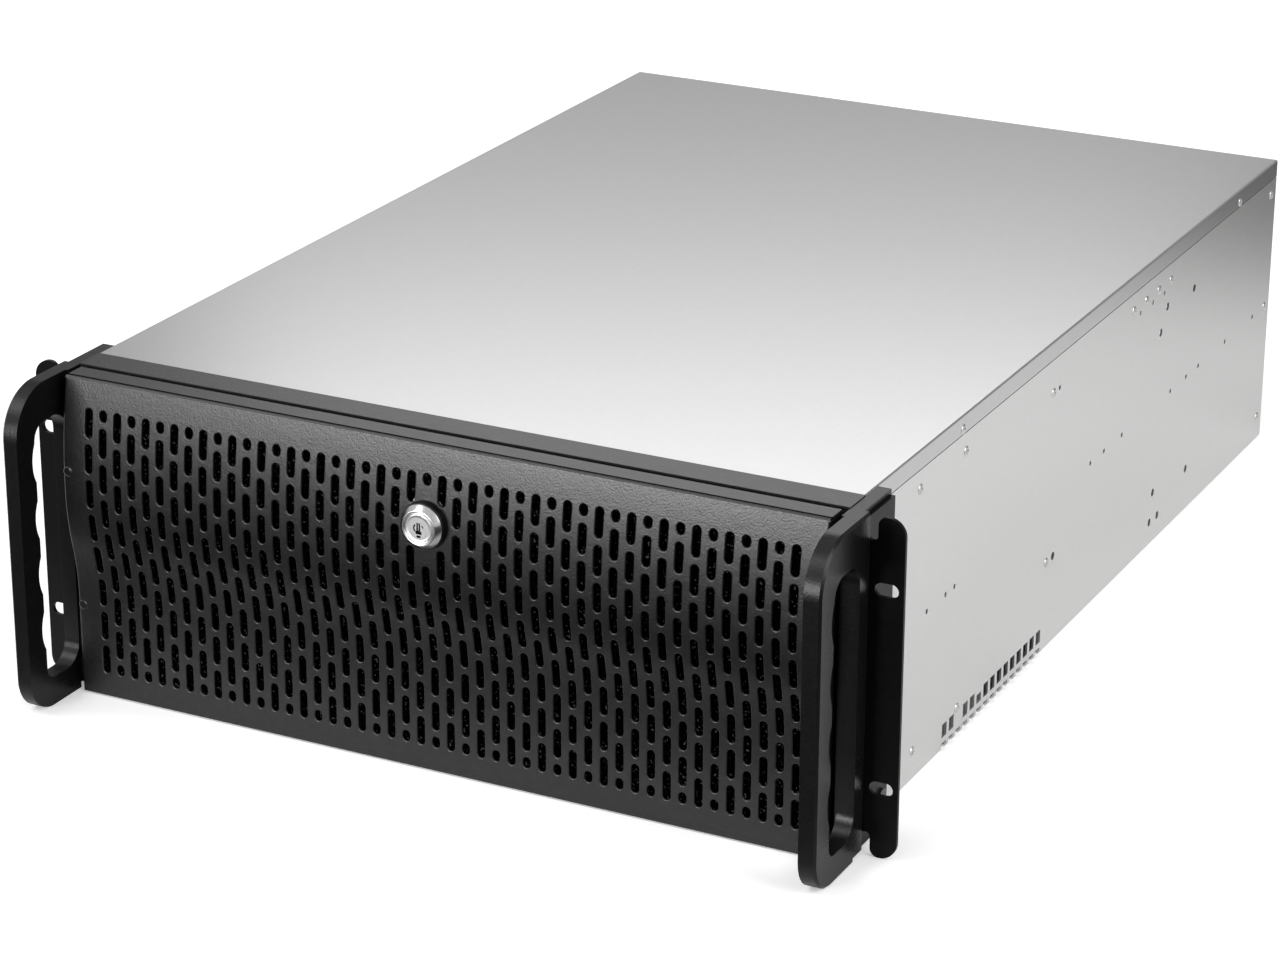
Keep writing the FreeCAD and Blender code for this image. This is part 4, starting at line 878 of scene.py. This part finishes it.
@dataclass
class LockFace:
    """The lock's head, the spacer behind it and the plug's face with the keyway.

    Attributes (metres):
        height, tip, back: Z of the axis, and Y of the head's front and of its rear end.
        plug, gap: radius of the plug, and the gap round it.
        bead: (radius, distance behind the tip) pairs in mm of the face's bead and groove.
        rim, rim_bend: radius of the face, and of the round along its edge.
        cone, flare, edge: the cone's largest radius, its length and the width of its edge.
        neck, shoulder: radius of the body behind the cone, and of the step down to it.
        bore, ring, round_edge: radii of the spacer, and of the round along its front.
        recess, sunk: how far the plug's face and the bottom of the keyway lie behind.
        turns: points round the head and the spacer.
    """

    height: float = 135.6 * MM
    tip: float = FRONT_EDGE - 45.9 * MM
    back: float = FRONT_EDGE - 20.0 * MM
    plug: float = 5.5 * MM
    gap: float = 0.04 * MM
    bead: tuple[Span, ...] = (
        (6.5, 0.2), (6.7, 0.12), (6.95, 0.12), (7.15, 0.3), (7.2, 0.8), (7.6, 0.8),
    )
    rim: float = 9.5 * MM
    rim_bend: float = 0.8 * MM
    cone: float = 11.5 * MM
    flare: float = 2.5 * MM
    edge: float = 0.6 * MM
    shoulder: float = 9.0 * MM
    neck: float = 8.0 * MM
    bore: float = 8.2 * MM
    ring: float = 12.0 * MM
    round_edge: float = 0.5 * MM
    recess: float = 0.2 * MM
    sunk: float = 1.1 * MM
    turns: int = 96

    def collar(self) -> Piece:
        """Barrel: satin face with a bead and a groove, round polished rim, cone and body behind.

        The rim is an arc that turns from 70 degrees before the front to 52 degrees past it.

        Returns:
            The piece.
        """
        front, inner, base = self.tip, self.plug + self.gap, self.tip + self.flare
        arc = np.radians(np.linspace(-70.0, 52.0, 9))
        satin = [
            (inner, self.back), (inner, front + 0.25 * MM), (inner + 0.02 * MM, front + 0.2 * MM),
            *((radius * MM, front + behind * MM) for radius, behind in self.bead),
        ]
        bend = self.rim_bend
        polished = [
            (self.rim - bend * (1 - math.sin(a)), front + bend * (1 - math.cos(a))) for a in arc
        ]
        polished += [
            (self.cone - 0.1 * MM, base), (self.cone, base + 0.15 * MM),
            (self.cone, base + self.edge), (self.shoulder, base + self.edge),
            (self.neck, base + self.edge + 0.2 * MM), (self.neck, self.back), (inner, self.back),
        ]
        points, faces = lathe(satin + polished, self.turns)
        points[:, 2] += self.height
        piece = new_piece("lock_head", points, faces, 42.0)
        ring = np.arange(len(faces)) // self.turns
        past_satin = (ring >= len(satin) - 1).astype(np.int32)
        # faces from the rim's outer edge and the cone back take the third finish, the darker
        # chrome: painted shade
        number_faces(piece, past_satin + (ring >= len(satin) + len(arc) - 2))
        return piece

    def spacer(self) -> Piece:
        """Black ring behind the head, down to the door: a tube with a rounded front edge.

        Returns:
            The piece.
        """
        front = self.tip + self.flare + self.edge + 0.02 * MM
        _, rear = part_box("lock_ring")
        profile = [
            (self.bore, rear.y), (self.bore, front), (self.ring - self.round_edge, front),
            (self.ring - 0.15 * MM, front + 0.15 * MM), (self.ring, front + self.round_edge),
            (self.ring, rear.y), (self.bore, rear.y),
        ]
        points, faces = lathe(profile, self.turns)
        points[:, 2] += self.height
        return new_piece("lock_spacer", points, faces, 50.0)

    def face(self) -> Piece:
        """Plug: a disc whose keyway and index mark are sunk by a formula, and its body behind.

        In mm from the axis: the keyway is a tall slot with a narrower bright ward left standing
        near its middle, a wider foot, an arc round its left side and a nick at its right; the
        mark is a small rectangle below.

        Returns:
            The piece.
        """
        rings = np.linspace(0, 1, 34) * self.plug
        turns = 120
        x, z = rings_of(rings, turns)
        u, v, far = x / MM, z / MM, np.hypot(x / MM, z / MM)
        slot = (np.abs(u + 0.1) < 0.95) & (v > -2.6) & (v < 2.7)
        ward = (np.abs(u + 0.1) < 0.22) & (v > -1.1) & (v < 3.0)
        foot = (np.abs(u) < 1.55) & (v > -2.9) & (v < -1.5)
        ring = (np.abs(far - 2.6) < 0.32) & (u < -1.2) & (np.abs(v) < 1.7)
        nick = (np.abs(far - 2.5) < 0.3) & (u > 1.5) & (v > 0.6) & (v < 1.7)
        mark = (np.abs(u) < 0.95) & (np.abs(v + 4.2) < 0.5)
        low = (slot & ~ward) | foot | ring | nick | mark
        y = self.tip + self.recess + np.where(low, self.sunk, 0.0)
        top = np.stack([x, y, z + self.height], axis=-1)
        side = top[-1:].copy()
        side[..., 1] = self.back
        end = np.broadcast_to((0.0, self.back, self.height), (1, turns, 3))
        points = np.concatenate([top, side, end]).reshape(-1, 3)
        faces = strip_faces(len(rings) + 2, turns, True)
        piece = new_piece("lock_plug_face", points, faces[:, ::-1], 40.0)
        dark = np.concatenate([low.reshape(-1), np.zeros(2 * turns, bool)])
        number_faces(piece, dark[faces].any(axis=1))
        return piece


@dataclass
class Door:
    """The drop-down door's sheet: a slow wave with staggered slots, a top return and two cheeks.

    Attributes (metres):
        wall: the sheet's thickness.
        face, crest: how far the foot and the crest stand before the cover's front edge.
        foot_height, crest_height: where the foot ends and where the crest is.
        crown: radius of the slow arc above the crest.
        bend, side_bend: outside radii of the bends along the top and the sides.
        sink: how far the top lies below the CAD box's.
        gap, inset: from the return's rear edge to the seam, and from its ends to the sides.
        crease, crease_depth: width and depth of the groove in the return.
        hinge_back, lug_height, lug_reach: the slanting corner at each cheek's lower rear.
        pitch, rise: the slot field's steps across, and up from one full slot to the next.
        slot_width, web, lip: a slot's width, the web above it and the radius of its edge.
        top_line: top of the upper slots; rows, columns: how many there are, columns each way.
        half, low, high, seam: the door's outer sizes, which come from its CAD box.
    """

    wall: float = 1.2 * MM
    face: float = 32.6 * MM
    crest: float = 39.9 * MM
    foot_height: float = 52.0 * MM
    crest_height: float = 115.0 * MM
    crown: float = 300.0 * MM
    bend: float = 1.3 * MM
    side_bend: float = 1.3 * MM
    sink: float = 0.55 * MM
    gap: float = 2.1 * MM
    inset: float = 0.3 * MM
    crease: float = 1.8 * MM
    crease_depth: float = 1.1 * MM
    hinge_back: float = 28.6 * MM
    lug_height: float = 8.0 * MM
    lug_reach: float = 10.6 * MM
    pitch: float = 8.5 * MM
    rise: float = 18.82 * MM
    slot_width: float = 4.2 * MM
    web: float = 3.5 * MM
    lip: float = 0.55 * MM
    top_line: float = 160.7 * MM
    rows: int = 8
    columns: int = 23
    half: float = field(init=False)
    low: float = field(init=False)
    high: float = field(init=False)
    seam: float = field(init=False)

    across_steps = 4  # steps of the lattice across a cell, and up a full and a short one
    full_cell = 8
    short_cell = 4
    bend_steps = 7

    def __post_init__(self) -> None:
        """Take the door's outer sizes from the CAD box."""
        lowest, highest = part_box("front_door")
        self.half = highest.x
        self.low = lowest.z
        self.high = highest.z - self.sink
        self.seam = highest.y

    def surface(self, height: Array, depth: float) -> Array:
        """Y of the sheet at a height, a depth behind its face.

        Straight up to the foot; then an arc of radius R curving outwards and its equal curving
        back, which reach the crest; then one slow arc. A depth shifts each arc's radius by
        itself, as a bent sheet does.

        Args:
            height: Z of the places.
            depth: how far they lie behind the face.

        Returns:
            Y of the places.
        """
        out = self.crest - self.face
        rise = self.crest_height - self.foot_height
        radius = (rise * rise + out * out) / (4 * out)
        turn = self.foot_height + rise / 2
        above_foot = (height - self.foot_height) ** 2
        above_crest = (height - self.crest_height) ** 2
        first = -self.face - radius + np.sqrt(np.maximum((radius + depth) ** 2 - above_foot, 0))
        second = -self.crest + radius - np.sqrt(np.maximum((radius - depth) ** 2 - above_crest, 0))
        third = -self.crest + self.crown - np.sqrt((self.crown - depth) ** 2 - above_crest)
        place = np.where(height < self.foot_height, -self.face + depth, first)
        place = np.where(height > turn, second, place)
        place = np.where(height > self.crest_height, third, place)
        return place + FRONT_EDGE

    def lay(self, flat: Array, depth: float) -> Array:
        """Put (..., 2) places, X and Z, on the sheet a depth behind its face."""
        return np.stack([flat[..., 0], self.surface(flat[..., 1], depth), flat[..., 1]], axis=-1)

    def patch(self, patches: Patchwork, xs: Array, zs: Array, depth: float) -> None:
        """Add a grid of the sheet at a depth; below its face, the quads look inwards."""
        flat = np.stack(np.meshgrid(xs, zs, indexing="xy"), axis=-1)
        patches.add(self.lay(flat, depth), flip=depth > 0)

    def cell(self, tall: int) -> list[tuple[Array, float]]:
        """Rings of one cell of the slot field, in steps of the lattice, each with its depth.

        The outer ring runs round the cell's edge on the lattice: four steps across, and eight
        (or four, in a short cell) up each side. The inner rings are the slot's outline, which
        closes in over a quarter circle of the lip's radius and then goes straight to the back.
        All rings have as many points, and one half of each is the other turned round.

        Args:
            tall: steps up the side, eight for a full cell and four for a short one.

        Returns:
            Pairs of a ring, an (n, 2) array about the cell's middle, and its depth.
        """
        wide = self.across_steps
        across, up = self.pitch / wide, self.rise / self.full_cell
        right, climb = tall // 2, np.arange(tall)
        walk = np.arange(wide)
        half = np.concatenate([
            np.stack([(walk - 2) * across, np.full(wide, -right * up)], axis=1),
            np.stack([np.full(tall, 2 * across), (climb - right) * up], axis=1),
        ])
        outer = np.concatenate([half, -half])
        corner = 2 if tall == self.full_cell else 1
        arc, straight = wide + 2 * corner, tall - 2 * corner
        length = tall * up - self.web
        turn = np.radians([0.0, 28.0, 58.0, 90.0])
        grows = [self.lip + 0.15 * MM, *(self.lip * (1 - np.sin(turn))), 0.0]
        depths = [0.0, *(self.lip * (1 - np.cos(turn))), self.wall]
        levels = [(outer, 0.0)]
        for grow, depth in zip(grows, depths):
            radius = self.slot_width / 2 + grow
            reach = length / 2 + grow - radius
            bow = math.pi * np.arange(arc) / arc
            side = -reach + 2 * reach * np.arange(straight) / straight
            half = np.concatenate([
                np.stack([-radius * np.cos(bow), -reach - radius * np.sin(bow)], axis=1),
                np.stack([np.full(straight, radius), side], axis=1),
            ])
            levels.append((np.roll(np.concatenate([half, -half]), -corner, axis=0), depth))
        return levels + [(outer, self.wall)]

    def slot_field(self, patches: Patchwork, top: float) -> None:
        """Add all cells, from the left; those that the lock covers are left without a slot.

        Args:
            patches: where they go.
            top: Z of the field's upper edge.
        """
        full, short = self.full_cell, self.short_cell
        for column in range(-self.columns, self.columns + 1):
            if column % 2:
                cells = [
                    (full, top - (row + 0.5) * self.rise, not (abs(column) == 1 and row == 1))
                    for row in range(self.rows)
                ]
            else:
                cells = [(short, top - self.rise / 4, True)]
                cells += [
                    (full, top - (row + 1.0) * self.rise, not (column == 0 and row < 2))
                    for row in range(self.rows - 1)
                ]
                cells += [(short, top - (self.rows - 0.25) * self.rise, True)]
            for tall, z, slotted in cells:
                middle = np.array([column * self.pitch, z])
                if slotted:
                    levels = [self.lay(ring + middle, depth) for ring, depth in self.cell(tall)]
                    patches.add(np.stack(levels), closed=True)
                else:
                    walk = np.arange(self.across_steps + 1) - self.across_steps // 2
                    climb = np.arange(tall + 1) - tall // 2
                    xs = middle[0] + walk * self.pitch / self.across_steps
                    zs = middle[1] + climb * self.rise / full
                    for depth in (0.0, self.wall):
                        self.patch(patches, xs, zs, depth)

    def build(self) -> Piece:
        """Work out the whole sheet: slot field, margins, cheeks, foot strip and top return.

        Returns:
            The piece.
        """
        patches = Patchwork()
        top = self.top_line + self.web / 2
        bottom = top - self.rows * self.rise
        self.slot_field(patches, top)
        side = (self.columns + 0.5) * self.pitch
        across = (2 * self.columns + 1) * self.across_steps
        lattice_x = np.linspace(-side, side, across + 1)
        lattice_z = np.linspace(bottom, top, self.rows * self.full_cell + 1)
        low_z = np.linspace(self.low, bottom, 6)
        high_z = np.linspace(top, self.high - self.bend, 6)
        all_z = np.concatenate([low_z[:-1], lattice_z, high_z[1:]])
        edge_x = np.linspace(side, self.half - self.side_bend, 4)
        margins = (lattice_x, low_z), (lattice_x, high_z), (edge_x, all_z), (-edge_x[::-1], all_z)
        for depth in (0.0, self.wall):
            for xs, zs in margins:
                self.patch(patches, xs, zs, depth)
        for sense in (-1.0, 1.0):
            self.cheek(patches, all_z, sense)
        xs = np.concatenate([-edge_x[::-1][:-1], lattice_x, edge_x[1:]])
        foot = np.stack([xs, np.full(len(xs), self.low)], axis=1)
        patches.add(np.stack([self.lay(foot, self.wall), self.lay(foot, 0.0)]))
        end = self.half - self.inset
        self.top_return(patches, np.concatenate([[-end], xs, [end]]))
        return patches.piece("door_sheet")

    def cheek(self, patches: Patchwork, all_z: Array, sense: float) -> None:
        """Add one side wall: a closed walk over its outside and back over its inside.

        At every height the walk goes round a quarter circle and level to the seam, or to the
        slanting corner below it. Strips close its lower and upper edges.

        Args:
            patches: where it goes.
            all_z: heights of the rows of the face.
            sense: -1 for the left side and 1 for the right.
        """
        quarter = np.linspace(0, math.pi / 2, self.bend_steps)
        slope = (all_z - self.low) / self.lug_height * self.lug_reach
        corner = FRONT_EDGE - self.hinge_back + slope
        rear = np.where(all_z < self.low + self.lug_height, corner, self.seam)[:, None]
        walks = []
        for depth in (0.0, self.wall):
            radius = max(self.side_bend - depth, 0.05 * MM)
            bend_y = self.surface(all_z, depth)[:, None] + radius * (1 - np.cos(quarter))
            bend_x = self.half - depth - radius * (1 - np.sin(quarter))
            tail = bend_y[:, -1:] + (rear - bend_y[:, -1:]) * np.linspace(0, 1, 4)[1:]
            ys = np.concatenate([bend_y, tail], axis=1)
            xs = np.concatenate([bend_x, np.full(3, bend_x[-1])]) * sense
            walks.append(np.stack(np.broadcast_arrays(xs, ys, all_z[:, None]), axis=-1))
        outside, inside = walks
        patches.add(np.concatenate([outside, inside[:, ::-1]], axis=1), flip=sense < 0)
        patches.add(np.stack([outside[0], inside[0]]), flip=sense > 0)
        patches.add(np.stack([outside[-1], inside[-1]]), flip=sense < 0)

    def top_return(self, patches: Patchwork, xs: Array) -> None:
        """Add the return along the top: a walk over its outside and back over its inside.

        The walk, the same at every width, goes round the brow, through the crease and level to
        the rear edge. Caps close its ends, and a thin skirt at each end leads down to the cheek.

        Args:
            patches: where it goes.
            xs: widths of its columns.
        """
        brow = self.high - self.bend
        lean = math.asin((brow - self.crest_height) / self.crown)
        arc = np.linspace(lean, math.pi / 2, self.bend_steps)
        brows = []
        for depth in (0.0, self.wall):
            radius = self.bend - depth
            start = self.surface(np.array([brow]), depth)
            brow_y = start + radius * (math.cos(lean) - np.cos(arc))
            brow_z = brow + radius * (np.sin(arc) - math.sin(lean)) / (1 - math.sin(lean))
            brows.append((brow_y, brow_z))
        (outer_y, outer_z), (inner_y, inner_z) = brows
        step, deep, rear = 0.05 * MM, self.crease_depth, self.seam - self.gap
        groove_y = outer_y[-1] + np.array([
            0.0, step, 2 * step, 2 * step, self.crease, self.crease, self.crease + step,
        ])
        groove_z = self.high - np.array([0.0, 0.03 * MM, 0.15 * MM, deep, deep, step, 0.0])
        rear_y = [rear - 0.2 * MM, rear, rear]
        rear_z = [self.high, self.high - 0.15 * MM, self.high - self.wall]
        ys = np.concatenate([outer_y, groove_y, rear_y, inner_y[::-1]])
        zs = np.concatenate([outer_z, groove_z, rear_z, inner_z[::-1]])
        block = np.stack(np.broadcast_arrays(xs, ys[:, None], zs[:, None]), axis=-1)
        patches.add(block)
        middle = len(ys) // 2
        for column in (0, -1):
            ends = np.stack([block[:middle, column], block[middle:, column][::-1]])
            patches.add(ends, flip=column == -1)
        outside = len(ys) - len(inner_y)
        for sense in (-1.0, 1.0):
            upper = block[:outside, 0 if sense < 0 else -1].copy()
            lower = upper.copy()
            lower[:, 0] = sense * self.half
            lower[:, 2] = np.minimum(lower[:, 2], brow) - 0.1 * MM
            inward = np.array([-0.25 * MM * sense, 0.0, 0.0])
            skirt = np.stack([upper, lower, lower + inward, upper + inward, upper])
            first, last = (np.broadcast_to(upper[k], (len(skirt), 1, 3)) for k in (0, -1))
            patches.add(np.concatenate([first, skirt, last], axis=1), flip=sense > 0)


def main() -> None:
    """Load the frame, dress it, build the new pieces and report each one."""
    logging.basicConfig(level=logging.INFO, format="%(message)s")
    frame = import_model()
    nodes = frame["nodes"]
    Studio().build()
    wardrobe = Wardrobe()
    wardrobe.dress_nodes(nodes)
    wardrobe.install(Door().build(), "front_door", "door", "black_powder", POWDER)
    for node, name, width, finish, slot in (
        ("handle_right", "handle_right_soft", 1.2 * MM, MOULDED, "black_plastic"),
        ("handle_left", "handle_left_soft", 1.2 * MM, MOULDED, "black_plastic"),
        ("ear_right", "ear_right_soft", 0.4 * MM, BLACK_SHEET, "black_powder"),
        ("ear_left", "ear_left_soft", 0.4 * MM, BLACK_SHEET, "black_powder"),
        ("front_frame", "front_frame_soft", 0.3 * MM, POWDER, "black_powder"),
        ("chassis_tray", "tray_sheet", 0.0, ZINC, "galvanised"),
    ):
        wardrobe.install(softened(nodes[node], name, width), node, "chassis", slot, finish)
    for node, axis, outwards, finish, body, slot in (
        ("side_screws", 0, 0, PLATED, "chassis", "plated_steel"),
        ("cover_screws", 0, 0, PLATED, "chassis", "plated_steel"),
        ("door_screws", 1, -1, BLACK_SCREW, "door", "black_screw"),
    ):
        piece = ScrewHeads(nodes[node], node + "_heads", axis, outwards).build()
        wardrobe.install(piece, node, body, slot, finish)
    lock = LockFace()
    for piece, node, body, slot, finishes in (
        (lock.collar(), "lock_barrel", "door", "chrome", (SATIN_STEEL, CHROME, CHROME_CONE_SHADED)),
        (lock.spacer(), "lock_ring", "door", "black_plastic", (MOULDED,)),
        (lock.face(), "lock_plug", "lock_rotor", "chrome", (SATIN_STEEL, KEYWAY)),
    ):
        wardrobe.install(piece, node, body, slot, *finishes)


if __name__ == "__main__":
    main()
